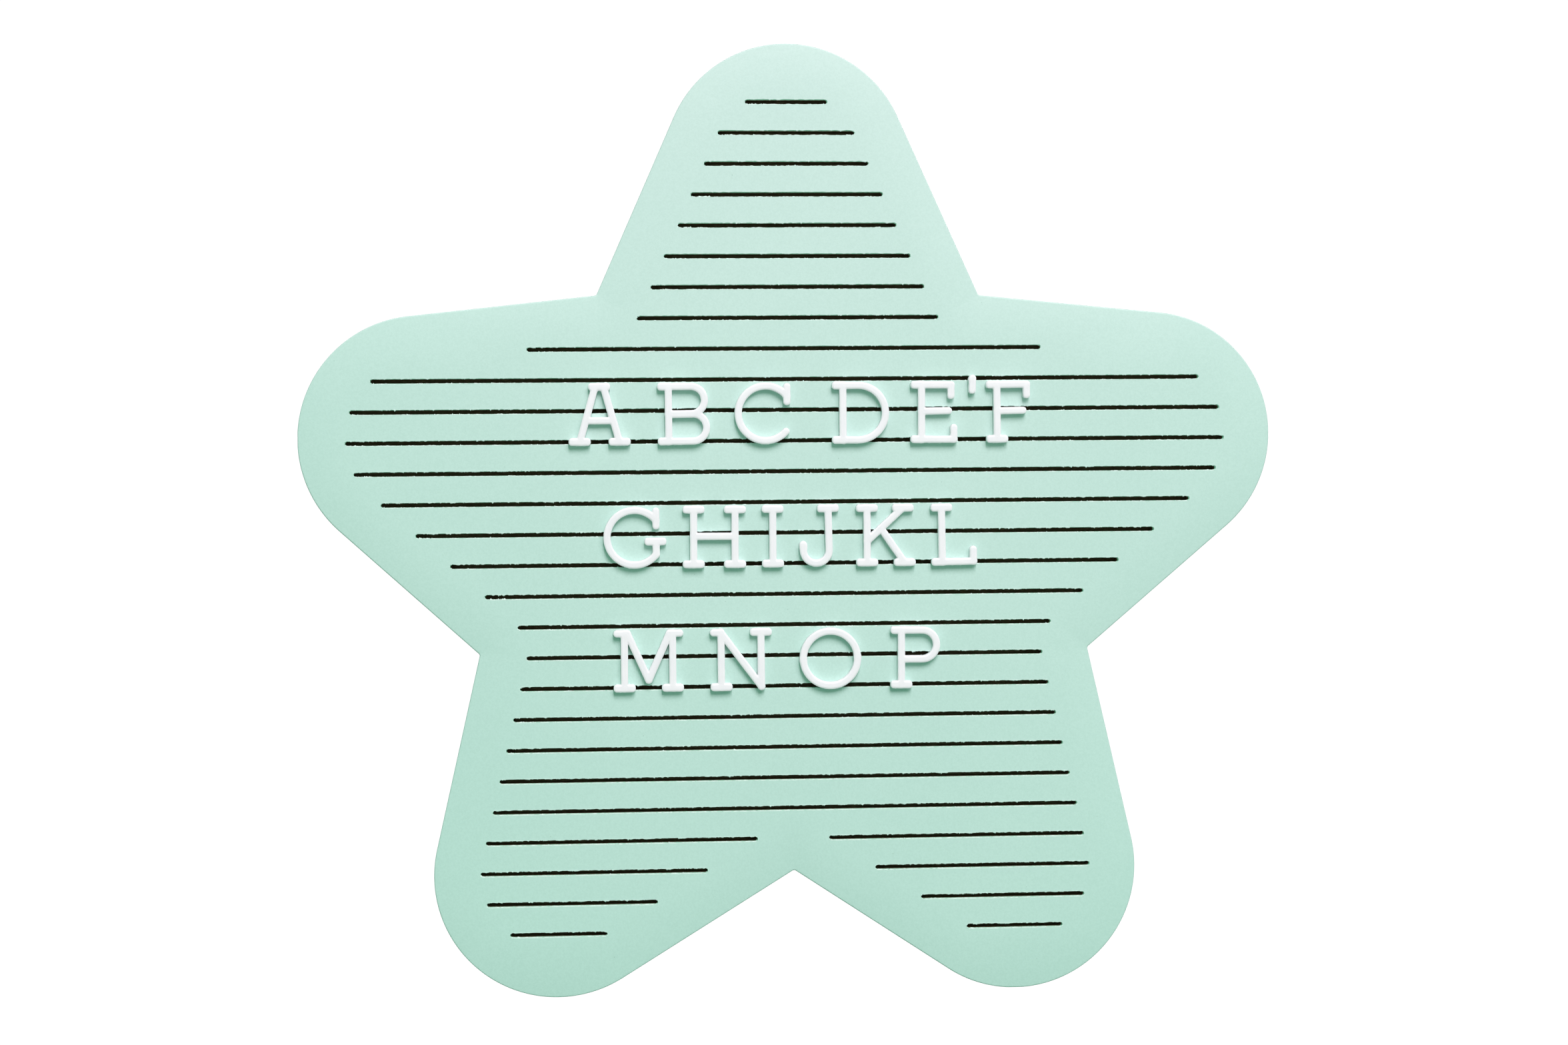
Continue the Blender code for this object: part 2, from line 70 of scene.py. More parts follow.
RAMP_OUT, RAMP_IN, TOOTH_D, TOOTH_W, TEETH = 15.5, 13.9, 1.7, 2.6, 7
NAIL_X, NAIL_HOLE_R, NAIL_R, HEAD_R, HEAD_T, NAIL_IN = 19.2, 0.95, 0.6, 1.7, 0.5, 6.5
NOTCH_Z = HANGER_Z - HANGER_H / 2 + TOOTH_D
Y_BACK = -STAND_OFF
Y_FACE = Y_BACK - BOARD_T


# painted sheen: how much paler the paint is painted with height and to the right, per metre, how that fades to both
# sides, per square metre, and its value at the origin; it stands in for the sheen of the lamps above
SHEEN_UP, SHEEN_RIGHT, SHEEN_ROUND, SHEEN_AT = 0.35, 0.076, 1.1, 0.086


# ---- node helpers --------------------------------------------------------------------
class Nodes:
    """A short way to write a material's node tree."""

    def __init__(self, name):
        self.mat = bpy.data.materials.new(name)
        self.mat.use_nodes = True
        self.t = self.mat.node_tree
        self.bsdf = self.t.nodes["Principled BSDF"]
        self.geo = None

    def set(self, socket, value):
        self.bsdf.inputs[socket].default_value = value

    def link(self, a, b):
        self.t.links.new(a, b)

    def coords(self):
        if self.geo is None:
            self.geo = self.t.nodes.new("ShaderNodeTexCoord")
        return self.geo.outputs["Object"]

    def noise(self, scale, detail=4.0, rough=0.55, stretch=None, distort=0.0, w=0.0):
        n = self.t.nodes.new("ShaderNodeTexNoise")
        n.inputs["Scale"].default_value = scale
        n.inputs["Detail"].default_value = detail
        n.inputs["Roughness"].default_value = rough
        n.inputs["Distortion"].default_value = distort
        m = self.t.nodes.new("ShaderNodeMapping")
        m.inputs["Scale"].default_value = stretch or (1, 1, 1)
        m.inputs["Location"].default_value = (w, w * 0.7, w * 1.3)
        self.link(self.coords(), m.inputs["Vector"])
        self.link(m.outputs["Vector"], n.inputs["Vector"])
        return n.outputs["Fac"]

    def cells(self, scale, w=0.0, stretch=None):
        n = self.t.nodes.new("ShaderNodeTexVoronoi")
        n.inputs["Scale"].default_value = scale
        m = self.t.nodes.new("ShaderNodeMapping")
        m.inputs["Scale"].default_value = stretch or (1, 1, 1)
        m.inputs["Location"].default_value = (w, w * 0.6, w * 1.7)
        self.link(self.coords(), m.inputs["Vector"])
        self.link(m.outputs["Vector"], n.inputs["Vector"])
        return n

    def ramp(self, fac, stops):
        n = self.t.nodes.new("ShaderNodeValToRGB")
        el = n.color_ramp.elements
        while len(el) < len(stops):
            el.new(0.5)
        for e, (p, c) in zip(el, stops):
            e.position = p
            e.color = (*c, 1.0) if not isinstance(c, float) else (c, c, c, 1.0)
        self.link(fac, n.inputs["Fac"])
        return n.outputs["Color"]

    def mix(self, fac, a, b, kind='MIX'):
        n = self.t.nodes.new("ShaderNodeMix")
        n.data_type = 'RGBA'
        n.blend_type = kind
        for value, socket in ((fac, n.inputs[0]), (a, n.inputs[6]), (b, n.inputs[7])):
            if isinstance(value, (int, float)):
                socket.default_value = value
            elif isinstance(value, tuple):
                socket.default_value = (*value, 1.0)
            else:
                self.link(value, socket)
        return n.outputs[2]

    def math(self, op, a, b=0.0, clamp=False):
        n = self.t.nodes.new("ShaderNodeMath")
        n.operation = op
        n.use_clamp = clamp
        for value, socket in ((a, n.inputs[0]), (b, n.inputs[1])):
            if isinstance(value, (int, float)):
                socket.default_value = value
            else:
                self.link(value, socket)
        return n.outputs[0]

    def bump(self, *layers):
        """Layers of (height, distance in metres, strength), laid on each other."""
        last = None
        for height, distance, strength in layers:
            n = self.t.nodes.new("ShaderNodeBump")
            n.inputs["Distance"].default_value = distance
            n.inputs["Strength"].default_value = strength
            self.link(height, n.inputs["Height"])
            if last is not None:
                self.link(last, n.inputs["Normal"])
            last = n.outputs["Normal"]
        self.link(last, self.bsdf.inputs["Normal"])


def lin(r, g, b):
    """sRGB 0-255 to scene-linear."""
    return tuple((c / 255 / 12.92) if c / 255 <= 0.04045 else ((c / 255 + 0.055) / 1.055) ** 2.4 for c in (r, g, b))


def mint_paint(name, edge=False, lip=False):
    m = Nodes(name)
    base = lin(181, 219, 206)
    broad = m.ramp(m.noise(14.0, 3.0), [(0.3, lin(185, 225, 212)), (0.7, lin(188, 227, 214))])
    fine = m.noise(1700.0, 5.0, 0.65, w=1.0)
    col = m.mix(m.ramp(fine, [(0.36, 1.0), (0.62, 0.0)]), broad, m.mix(0.16, broad, lin(140, 190, 172)))
    # painted sheen: the paint is painted a little paler towards the top and the right, and less so to both sides, in
    # place of the sheen of the light from above
    place = m.t.nodes.new("ShaderNodeSeparateXYZ")
    m.link(m.coords(), place.inputs[0])
    rise = m.math('ADD', m.math('MULTIPLY', place.outputs[2], SHEEN_UP), m.math('MULTIPLY', place.outputs[0], SHEEN_RIGHT))
    sheen_sides = m.math('MULTIPLY', m.math('MULTIPLY', place.outputs[0], place.outputs[0]), SHEEN_ROUND)
    rise = m.math('MAXIMUM', m.math('SUBTRACT', m.math('ADD', rise, SHEEN_AT), sheen_sides), 0.0)
    col = m.mix(rise, col, (1.0, 0.34, 0.68), 'ADD')
    # sparse grey-green specks and paler nibs in the paint
    dark = m.cells(310.0, w=0.3)
    specks = m.ramp(dark.outputs["Distance"], [(0.0, 1.0), (0.030, 1.0), (0.055, 0.0)])
    sep = m.t.nodes.new("ShaderNodeSeparateColor")
    m.link(dark.outputs["Color"], sep.inputs["Color"])
    few = m.math('GREATER_THAN', sep.outputs[0], 0.94)
    col = m.mix(m.math('MULTIPLY', m.math('MULTIPLY', specks, few), 0.5), col, lin(110, 155, 140))
    pale = m.cells(240.0, w=2.1)
    nib = m.ramp(pale.outputs["Distance"], [(0.0, 1.0), (0.03, 1.0), (0.055, 0.0)])
    sep2 = m.t.nodes.new("ShaderNodeSeparateColor")
    m.link(pale.outputs["Color"], sep2.inputs["Color"])
    some = m.math('GREATER_THAN', sep2.outputs[1], 0.95)
    nibs = m.math('MULTIPLY', nib, some)
    col = m.mix(m.math('MULTIPLY', nibs, 0.6), col, lin(226, 244, 236))
    if lip:
        # painted highlight along the torn paint edge: the lips are painted pale, in random patches, where the light
        # from above falls, as the 'pale' attribute gives
        att = m.t.nodes.new("ShaderNodeAttribute")
        att.attribute_name = "pale"
        patchy = m.ramp(m.noise(1100.0, 4.0, 0.7, w=11.0), [(0.34, 0.72), (0.58, 1.0)])
        col = m.mix(m.math('MULTIPLY', att.outputs["Fac"], patchy), col, lin(227, 250, 241))
    m.link(col, m.bsdf.inputs["Base Color"])
    m.set("Specular IOR Level", 0.35)
    rough = m.ramp(m.noise(420.0, 3.0, w=4.0), [(0.3, 0.46), (0.7, 0.58)])
    m.link(rough, m.bsdf.inputs["Roughness"])
    peel = m.noise(330.0, 4.0, 0.55, w=7.0)
    if edge:
        strand = m.noise(520.0, 5.0, 0.65, stretch=(1, 7, 1), w=5.0)
        m.bump((peel, 0.00008, 0.5), (strand, 0.00014, 0.6))
    else:
        m.bump((peel, 0.00003, 0.4), (fine, 0.00003, 0.4), (nibs, 0.00008, 0.5))
    return m.mat


def groove_black(name):
    """Bare brown fibre in the grooves, nearly black in its own shade, with paint on the walls' outer edge."""
    m = Nodes(name)
    place = m.t.nodes.new("ShaderNodeSeparateXYZ")
    m.link(m.coords(), place.inputs[0])
    depth = m.math('MULTIPLY', m.math('SUBTRACT', place.outputs[1], Y_FACE * MM), 1 / 0.0034)
    reach = m.math('ADD', depth, m.math('MULTIPLY', m.noise(1300.0, 4.0, 0.7, w=6.0), 0.9))
    paint = m.ramp(reach, [(0.75, 1.0), (0.98, 0.0)])
    thread = m.noise(900.0, 5.0, 0.7, stretch=(0.3, 1.0, 1.8), w=2.0)
    col = m.ramp(thread, [(0.34, lin(122, 96, 76)), (0.56, lin(138, 110, 88)), (0.74, lin(186, 150, 120))])
    m.link(m.mix(paint, col, lin(190, 236, 216)), m.bsdf.inputs["Base Color"])
    m.set("Roughness", 0.9)
    m.set("Specular IOR Level", 0.1)
    m.bump((thread, 0.0002, 0.7))
    return m.mat


def raw_mdf(name):
    m = Nodes(name)
    cloud = m.noise(22.0, 4.0, 0.6)
    fibre = m.noise(620.0, 6.0, 0.72, stretch=(0.35, 1.0, 1.0), distort=0.8, w=1.5)
    fibre_b = m.noise(540.0, 6.0, 0.72, stretch=(1.0, 1.0, 0.3), distort=0.8, w=5.5)
    base = m.ramp(cloud, [(0.3, lin(158, 124, 88)), (0.7, lin(178, 144, 106))])
    dark = m.ramp(fibre, [(0.38, 1.0), (0.52, 0.0)])
    col = m.mix(m.math('MULTIPLY', dark, 0.45), base, lin(104, 74, 48))
    pale = m.ramp(fibre_b, [(0.56, 0.0), (0.72, 1.0)])
    col = m.mix(m.math('MULTIPLY', pale, 0.5), col, lin(206, 178, 140))
    # a soft speckled band of overspray along the outline, carried as a mesh attribute
    att = m.t.nodes.new("ShaderNodeAttribute")
    att.attribute_name = "overspray"
    mist = m.noise(1500.0, 4.0, 0.75, w=9.0)
    drift = m.noise(60.0, 3.0, 0.6, w=3.0)
    grain = m.math('ADD', m.math('MULTIPLY', mist, 0.9),
                   m.math('MULTIPLY', att.outputs["Fac"], m.math('ADD', m.math('MULTIPLY', drift, 0.7), 0.15)))
    spray = m.ramp(grain, [(0.66, 0.0), (0.86, 1.0)])
    col = m.mix(spray, col, lin(184, 222, 208))
    m.link(col, m.bsdf.inputs["Base Color"])
    m.set("Roughness", 0.82)
    m.set("Specular IOR Level", 0.25)
    m.bump((fibre, 0.00010, 0.6), (fibre_b, 0.00008, 0.5))
    return m.mat


def white_plastic(name):
    m = Nodes(name)
    cloud = m.noise(150.0, 4.0, 0.6)
    col = m.ramp(cloud, [(0.3, lin(240, 242, 245)), (0.7, lin(244, 246, 248))])
    m.link(col, m.bsdf.inputs["Base Color"])
    rough = m.ramp(m.noise(600.0, 3.0, w=3.0), [(0.3, 0.34), (0.7, 0.48)])
    m.link(rough, m.bsdf.inputs["Roughness"])
    m.set("Specular IOR Level", 0.45)
    m.set("Subsurface Weight", 0.3)
    m.set("Subsurface Radius", (1.0, 1.0, 1.0))
    m.set("Subsurface Scale", 0.0012)
    m.bump((m.noise(240.0, 3.0, w=6.0), 0.00004, 0.35), (m.noise(2200.0, 3.0, w=8.0), 0.00001, 0.35))
    return m.mat


def plated_steel(name, tint, rough_lo, rough_hi):
    m = Nodes(name)
    cloud = m.noise(260.0, 4.0, 0.6)
    col = m.ramp(cloud, [(0.3, tuple(c * 0.82 for c in tint)), (0.7, tint)])
    tarnish = m.ramp(m.noise(900.0, 4.0, 0.7, w=4.0), [(0.62, 0.0), (0.75, 1.0)])
    col = m.mix(m.math('MULTIPLY', tarnish, 0.35), col, tuple(c * 0.45 for c in tint))
    m.link(col, m.bsdf.inputs["Base Color"])
    m.set("Metallic", 1.0)
    draw = m.noise(500.0, 4.0, 0.6, stretch=(0.05, 1.0, 1.6), w=2.0)
    m.link(m.ramp(draw, [(0.3, rough_lo), (0.7, rough_hi)]), m.bsdf.inputs["Roughness"])
    m.bump((draw, 0.00003, 0.5), (cloud, 0.00004, 0.3))
    return m.mat


MINT = mint_paint("mint_face")
MINT_EDGE = mint_paint("mint_edge", edge=True)
MINT_LIP = mint_paint("mint_lip", lip=True)
BLACK = groove_black("groove_black")
MDF = raw_mdf("raw_mdf")
WHITE = white_plastic("letter_white")
STEEL = plated_steel("hanger_steel", (0.66, 0.64, 0.60), 0.24, 0.42)
BRASSY = plated_steel("nail_steel", (0.74, 0.66, 0.42), 0.22, 0.38)


# ---- mesh helpers --------------------------------------------------------------------
def make_piece(name, verts, faces, mats, mat_index=None, replaces=(), sharp=40.0):
    me = bpy.data.meshes.new(name)
    me.from_pydata([tuple(v) for v in verts], [], [tuple(f) for f in faces])
    for m in mats:
        me.materials.append(m)
    if mat_index is not None:
        me.polygons.foreach_set("material_index", np.asarray(mat_index, np.int32))
    bm = bmesh.new()
    bm.from_mesh(me)
    bmesh.ops.recalc_face_normals(bm, faces=bm.faces)
    bm.to_mesh(me)
    bm.free()
    me.shade_smooth()
    me.set_sharp_from_angle(angle=math.radians(sharp))
    me.validate()
    ob = bpy.data.objects.new(name, me)
    bpy.context.scene.collection.objects.link(ob)
    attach(ob, "root")
    if replaces:
        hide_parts(*replaces)
    return ob


def region(polys, cuts=(), eps=1e-6):
    """Triangles inside the union of polys, less cuts. Returns points and triples."""
    verts, faces = [], []
    for poly in list(polys) + list(cuts):
        s = len(verts)
        verts.extend(Vector((float(p[0]), float(p[1]))) for p in poly)
        faces.append(list(range(s, len(verts))))
    ov, _, of, _, _, origin = delaunay_2d_cdt(verts, [], faces, 1, eps)
    n = len(polys)
    tris = [tuple(f) for f, src in zip(of, origin)
            if any(i < n for i in src) and not any(i >= n for i in src)]
    return [(v.x, v.y) for v in ov], tris


def boundary_loops(points, tris):
    """Outline loops of a flat triangle set, with the material on the left."""
    nxt = {}
    seen = set()
    for f in tris:
        for a, b in zip(f, f[1:] + f[:1]):
            seen.add((a, b))
    for a, b in seen:
        if (b, a) not in seen:
            nxt.setdefault(a, []).append(b)
    loops = []
    while nxt:
        start = next(iter(nxt))
        loop, cur = [start], start
        while True:
            outs = nxt[cur]
            to = outs.pop()
            if not outs:
                del nxt[cur]
            if to == start:
                break
            loop.append(to)
            cur = to
        loops.append(np.array([points[i] for i in loop]))
    return loops


def resample(loop, step):
    """Even points round a closed loop."""
    p = np.vstack([loop, loop[:1]])
    seg = np.hypot(*np.diff(p, axis=0).T)
    s = np.concatenate(([0], np.cumsum(seg)))
    n = max(12, int(round(s[-1] / step)))
    t = np.linspace(0, s[-1], n, endpoint=False)
    return np.stack([np.interp(t, s, p[:, 0]), np.interp(t, s, p[:, 1])], -1)


def smooth_noise(t, seed, octaves=4, falloff=0.55):
    """Repeatable one-dimensional noise along t."""
    r = np.random.RandomState(seed)
    out = np.zeros_like(t)
    amp = 1.0
    for o in range(octaves):
        f = 2.0 ** o
        k = np.floor(t * f).astype(int)
        u = t * f - k
        u = u * u * (3 - 2 * u)
        table = r.uniform(-1, 1, 4096)
        out += amp * (table[k % 4096] * (1 - u) + table[(k + 1) % 4096] * u)
        amp *= falloff
    return out


def to_world(p, y):
    """A point in mm from the star's centre, at depth y in mm, as metres."""
    return (p[0] * MM, y * MM, (p[1] - NOTCH_Z) * MM)


# ---- letters -------------------------------------------------------------------------
def arc(cx, cz, r, a0, a1, steps):
    return [(cx + r * math.cos(math.radians(a0 + (a1 - a0) * i / steps)),
             cz + r * math.sin(math.radians(a0 + (a1 - a0) * i / steps))) for i in range(steps + 1)]


def bar(ax, az, bx, bz, width=STROKE):
    return ([(ax, az), (bx, bz)], width)


def serif(x, z):
    h = (SERIF_L - SERIF) / 2
    return bar(x - h, z, x + h, z, SERIF)


def half_serif(x, z, side):
    return bar(x, z, x + side * (SERIF_L - SERIF) / 2, z, SERIF)


def bend(points, width=STROKE):
    return (points, width)


def glyphs():
    h = CAP_H
    mid = 8.4
    rb, rl, ro = (h - mid) / 2, mid / 2, h / 2
    gx = -0.3 + ro * math.cos(math.radians(38))
    g = {}
    g["A"] = [bar(-1.3, h, -6.1, 0), bar(1.3, h, 6.1, 0), bar(-4.0, 6.5, 4.0, 6.5),
              serif(0, h), serif(-6.15, 0), serif(6.15, 0)]
    sx = -4.9
    g["B"] = [bar(sx, 0, sx, h), half_serif(sx, h, -1), half_serif(sx, 0, -1),
              bend([(sx, h)] + arc(2.0, h - rb, rb, 90, -90, 30) + [(sx, mid)]),
              bend([(sx, mid)] + arc(2.6, rl, rl, 90, -90, 30) + [(sx, 0)])]
    g["C"] = [bend(arc(-0.3, ro, ro, 38, 318, 80)), bar(gx, 12.0, gx, 16.6)]
    sd = -5.4
    g["D"] = [bar(sd, 0, sd, h), half_serif(sd, h, -1), half_serif(sd, 0, -1),
              bend([(sd, h)] + arc(-0.6, ro, ro, 90, -90, 50) + [(sd, 0)])]
    se = -3.9
    g["E"] = [bar(se, 0, se, h), half_serif(se, h, -1), half_serif(se, 0, -1),
              bar(se, h, 5.3, h), bar(5.3, h, 5.3, h - 3.3), bar(se, 8.7, 4.5, 8.9),
              bar(se, 0, 6.2, 0), bar(6.2, 0, 6.2, 3.6)]
    sf = -3.5
    g["F"] = [bar(sf, 0, sf, h), half_serif(sf, h, -1), serif(sf, 0),
              bar(sf, h, 5.8, h), bar(5.8, h, 5.8, h - 3.3), bar(sf, 8.7, 4.6, 8.8)]
    g["G"] = [bend(arc(-0.3, ro, ro, 38, 322, 80)), bar(gx, 12.0, gx, 16.6),
              bar(gx, 3.2, gx, 7.2), bar(gx - 2.4, 7.2, gx + 2.0, 7.2, SERIF)]
    g["H"] = [bar(-6.4, 0, -6.4, h), bar(6.4, 0, 6.4, h), bar(-6.4, 8.6, 6.4, 8.6),
              serif(-6.4, 0), serif(6.4, 0), serif(-6.4, h), serif(6.4, h)]
    g["I"] = [bar(0, 0, 0, h), serif(0, 0), serif(0, h)]
    g["J"] = [bend([(2.8, h), (2.8, 11.0)] + arc(-1.2, 4.0, 4.0, 0, -180, 36) + [(-5.2, 5.4)]),
              serif(2.8, h), bar(-5.2, 4.9, -5.2, 5.8, SERIF)]
    g["K"] = [bar(-5.6, 0, -5.6, h), serif(-5.6, 0), serif(-5.6, h),
              bar(5.6, h, -5.6, 6.6), bar(-1.3, 10.6, 6.0, 0), serif(5.6, h), serif(6.1, 0)]
    sl = -3.75
    g["L"] = [bar(sl, 0, sl, h), serif(sl, h), half_serif(sl, 0, -1),
              bar(sl, 0, 6.0, 0), bar(6.0, 0, 6.0, 3.7)]
    g["M"] = [bar(-7.45, 0, -7.45, h), bar(7.45, 0, 7.45, h), bar(-6.5, h, 0, 2.5), bar(6.5, h, 0, 2.5),
              bar(-9.7, h, -6.5, h), bar(9.7, h, 6.5, h), serif(-7.45, 0), serif(7.45, 0)]
    g["N"] = [bar(-6.2, 0, -6.2, h), bar(6.2, 0, 6.2, h), bar(-6.2, h, 6.2, 0),
              bar(-8.5, h, -6.2, h), serif(-6.2, 0), serif(6.2, h)]
    g["O"] = [bend(arc(0, ro, ro, 0, 184, 60)), bend(arc(0, ro, ro, 180, 364, 60))]
    sp = -4.3
    g["P"] = [bar(sp, 0, sp, h), half_serif(sp, h, -1), serif(sp, 0),
              bend([(sp, h)] + arc(2.2, h - 4.5, 4.5, 90, -90, 36) + [(sp, h - 9.0)])]
    g["mark"] = [bar(0, 0, 0.15, 3.7), bar(-0.35, 3.3, 0.15, 3.7, 1.6)]
    return g


GLYPHS = glyphs()


def stroke_outline(line, width, steps=8):
    """Outline of a stroke with round ends."""
    r = width / 2
    n = len(line)
    left, right = [], []
    for i in range(n):
        a, b = line[max(i - 1, 0)], line[min(i + 1, n - 1)]
        t = math.atan2(b[1] - a[1], b[0] - a[0])
        nx, nz = -math.sin(t), math.cos(t)
        left.append((line[i][0] + r * nx, line[i][1] + r * nz))
        right.append((line[i][0] - r * nx, line[i][1] - r * nz))
    pts = list(right)
    t = math.atan2(line[-1][1] - line[-2][1], line[-1][0] - line[-2][0])
    for i in range(1, 2 * steps):
        u = t - math.pi / 2 + math.pi * i / (2 * steps)
        pts.append((line[-1][0] + r * math.cos(u), line[-1][1] + r * math.sin(u)))
    pts += list(reversed(left))
    t = math.atan2(line[0][1] - line[1][1], line[0][0] - line[1][0])
    for i in range(1, 2 * steps):
        u = t - math.pi / 2 + math.pi * i / (2 * steps)
        pts.append((line[0][0] + r * math.cos(u), line[0][1] + r * math.sin(u)))
    return pts


def stroke_sdf(strokes, p, k=0.28):
    """Signed distance to the strokes, negative inside, with small fillets where they meet."""
    per = []
    for line, width in strokes:
        a = np.array(line[:-1])
        b = np.array(line[1:])
        d = b - a
        ll = np.maximum((d * d).sum(1), 1e-12)
        rel = p[:, None, :] - a[None]
        t = np.clip((rel * d[None]).sum(2) / ll[None], 0, 1)
        dist = np.hypot(*(rel - t[..., None] * d[None]).transpose(2, 0, 1)).min(1) - width / 2
        if width == SERIF and len(line) == 2 and line[0][1] == line[1][1]:
            # serifs have flatter ends than the strokes
            c = (np.array(line[0]) + line[1]) / 2
            half = np.array((abs(line[1][0] - line[0][0]) / 2 + width / 2 - 0.02, width / 2)) - SERIF_R
            q = np.abs(p - c) - half
            dist = np.hypot(*np.maximum(q, 0).T) + np.minimum(q.max(1), 0) - SERIF_R
        per.append(dist)
    out = per[0]
    for dist in per[1:]:
        h = np.clip(0.5 + 0.5 * (dist - out) / k, 0, 1)
        out = dist * (1 - h) + out * h - k * h * (1 - h)
    return out


def gradient(strokes, p, e=0.02):
    gx = stroke_sdf(strokes, p + (e, 0)) - stroke_sdf(strokes, p - (e, 0))
    gz = stroke_sdf(strokes, p + (0, e)) - stroke_sdf(strokes, p - (0, e))
    g = np.stack([gx, gz], -1)
    return g / np.maximum(np.hypot(gx, gz), 1e-9)[:, None]


def march(strokes, p, level, rounds=4):
    """Move points to where the signed distance equals level."""
    for _ in range(rounds):
        p = p - gradient(strokes, p) * (stroke_sdf(strokes, p) - level)[:, None]
    return p


# inset from the outline and height above the board's face, from the back to the front
SECTION = [(-0.03, 0.02), (-0.08, 0.12), (-0.07, 1.1), (-0.05, 2.05), (-0.035, 2.11), (0.0, 2.145), (0.19, 2.215),
           (0.37, 2.278), (0.42, 2.295), (0.48, LETTER_T + GAP)]
STEP = 0.24


def gates(base, grad, seed):
    """How far the trimmed gates stand out along a letter's outline: flat stubs with a nub at each end."""
    rs = np.random.RandomState(seed)
    n = len(base)
    out = np.zeros(n)
    foot = (grad[:, 1] < -0.95) & (base[:, 1] < 0.3)
    head = (grad[:, 1] > 0.95) & (base[:, 1] > CAP_H + 0.5)
    for spots, share, tall in ((foot, 1.0, 1.0), (head, 0.45, 0.7)):
        if not spots.any() or spots.all():
            continue
        first = int(np.flatnonzero(~spots)[0])
        order = (np.arange(n) + first) % n
        line = spots[order].astype(int)
        edge = np.flatnonzero(np.diff(np.concatenate(([0], line, [0]))))
        for a, b in zip(edge[::2], edge[1::2]):
            long = (b - a) * STEP
            if long < 1.0 or rs.uniform() > share:
                continue
            reach = min(long / 2 - 0.1, rs.uniform(1.1, 2.3))
            mid = (a + b) / 2 + rs.uniform(-0.2, 0.2) * (long / 2 - reach) / STEP
            flat = rs.uniform(0.07, 0.13) * tall
            nubs = rs.uniform(0.02, 0.13, 2) * tall
            for i in range(a, b):
                u = (i - mid) * STEP
                if abs(u) > reach:
                    continue
                h = flat * min(1.0, (reach - abs(u)) / 0.3 + 0.45) + rs.uniform(-0.02, 0.03)
                h += nubs[int(u > 0)] * max(0.0, 1 - abs(abs(u) - reach + 0.28) / 0.3)
                out[order[i]] = max(0.0, h)
    return out


def letter_mesh(name, glyph, x_mid, z_foot, tilt, prong_heights, node, seed):
    strokes = GLYPHS[glyph]
    pts, tris = region([stroke_outline(*s) for s in strokes])
    loops = [resample(l, STEP) for l in boundary_loops(pts, tris)
             if np.hypot(*(np.roll(l, -1, 0) - l).T).sum() > 1.5]
    verts, faces = [], []
    tops, backs = [], []
    for j, loop in enumerate(loops):
        base = march(strokes, loop, 0.0)
        n = len(base)
        grad = gradient(strokes, base)
        run = np.arange(n) * STEP
        low = smooth_noise(run * 0.5, seed + 17 * j)
        stub = gates(base, grad, seed + 5 + j)
        ring = np.zeros((len(SECTION), n), int)
        for r, (inset, height) in enumerate(SECTION):
            share = (0.6, 1.0, 0.9, 0.25)[r] if r < 4 else 0.0
            q = march(strokes, base - grad * inset, -inset, 2) + grad * (0.010 * low + share * stub)[:, None]
            start = len(verts)
            for k in range(n):
                verts.append((q[k, 0], q[k, 1], height))
            ring[r] = np.arange(start, start + n)
        for r in range(len(SECTION) - 1):
            for k in range(n):
                k2 = (k + 1) % n
                faces.append((ring[r][k], ring[r][k2], ring[r + 1][k2], ring[r + 1][k]))
        tops.append(ring[-1])
        backs.append(ring[0])

    def cap(rings, flip):
        coords = [[(verts[i][0], verts[i][1]) for i in rg] for rg in rings]
        areas = [sum(a[0] * b[1] - b[0] * a[1] for a, b in zip(c, c[1:] + c[:1])) for c in coords]
        flat = [Vector(c) for cs in coords for c in cs]
        ids = [i for rg in rings for i in rg]
        edges, s = [], 0
        for c in coords:
            edges += [(s + i, s + (i + 1) % len(c)) for i in range(len(c))]
            s += len(c)
        ov, _, of, back_v, _, _ = delaunay_2d_cdt(flat, edges, [], 0, 1e-7)
        mapping = [ids[o[0]] if o else None for o in back_v]
        cen = np.array([[sum(ov[i].x for i in f) / 3, sum(ov[i].y for i in f) / 3] for f in of])
        inside = np.zeros(len(of), bool)
        for c in coords:
            c = np.array(c)
            d = np.roll(c, -1, 0)
            for (ax, az), (bx, bz) in zip(c, d):
                if az == bz:
                    continue
                hit = ((az > cen[:, 1]) != (bz > cen[:, 1])) & (cen[:, 0] < ax + (cen[:, 1] - az) * (bx - ax) / (bz - az))
                inside ^= hit
        for f, ok in zip(of, inside):
            if ok:
                t = [mapping[i] for i in f]
                if None not in t and len(set(t)) == 3:
                    faces.append(tuple(reversed(t)) if flip else tuple(t))

    cap(tops, False)
    cap(backs, True)
    # prongs, each a small tapered block that starts inside the plate
    for z in prong_heights:
        for c, h in prong_spots(strokes, z):
            s = len(verts)
            t = PRONG_T / 2
            for hh, tt, y in ((h, t, 0.5), (h, t, -3.4), (h * 0.86, t * 0.6, -(PRONG_D - GAP))):
                verts += [(c - hh, z - tt, y), (c + hh, z - tt, y), (c + hh, z + tt, y), (c - hh, z + tt, y)]
            for lv in (0, 4):
                for i in range(4):
                    i2 = (i + 1) % 4
                    faces.append((s + lv + i, s + lv + i2, s + lv + 4 + i2, s + lv + 4 + i))
            faces.append((s, s + 3, s + 2, s + 1))
            faces.append((s + 8, s + 9, s + 10, s + 11))
    ct, st = math.cos(math.radians(tilt)), math.sin(math.radians(tilt))
    world = [to_world((x_mid + x * ct - z * st, z_foot + x * st + z * ct), Y_FACE - h) for x, z, h in verts]
    return make_piece(name, world, faces, [WHITE], None, (node,), 28.0)


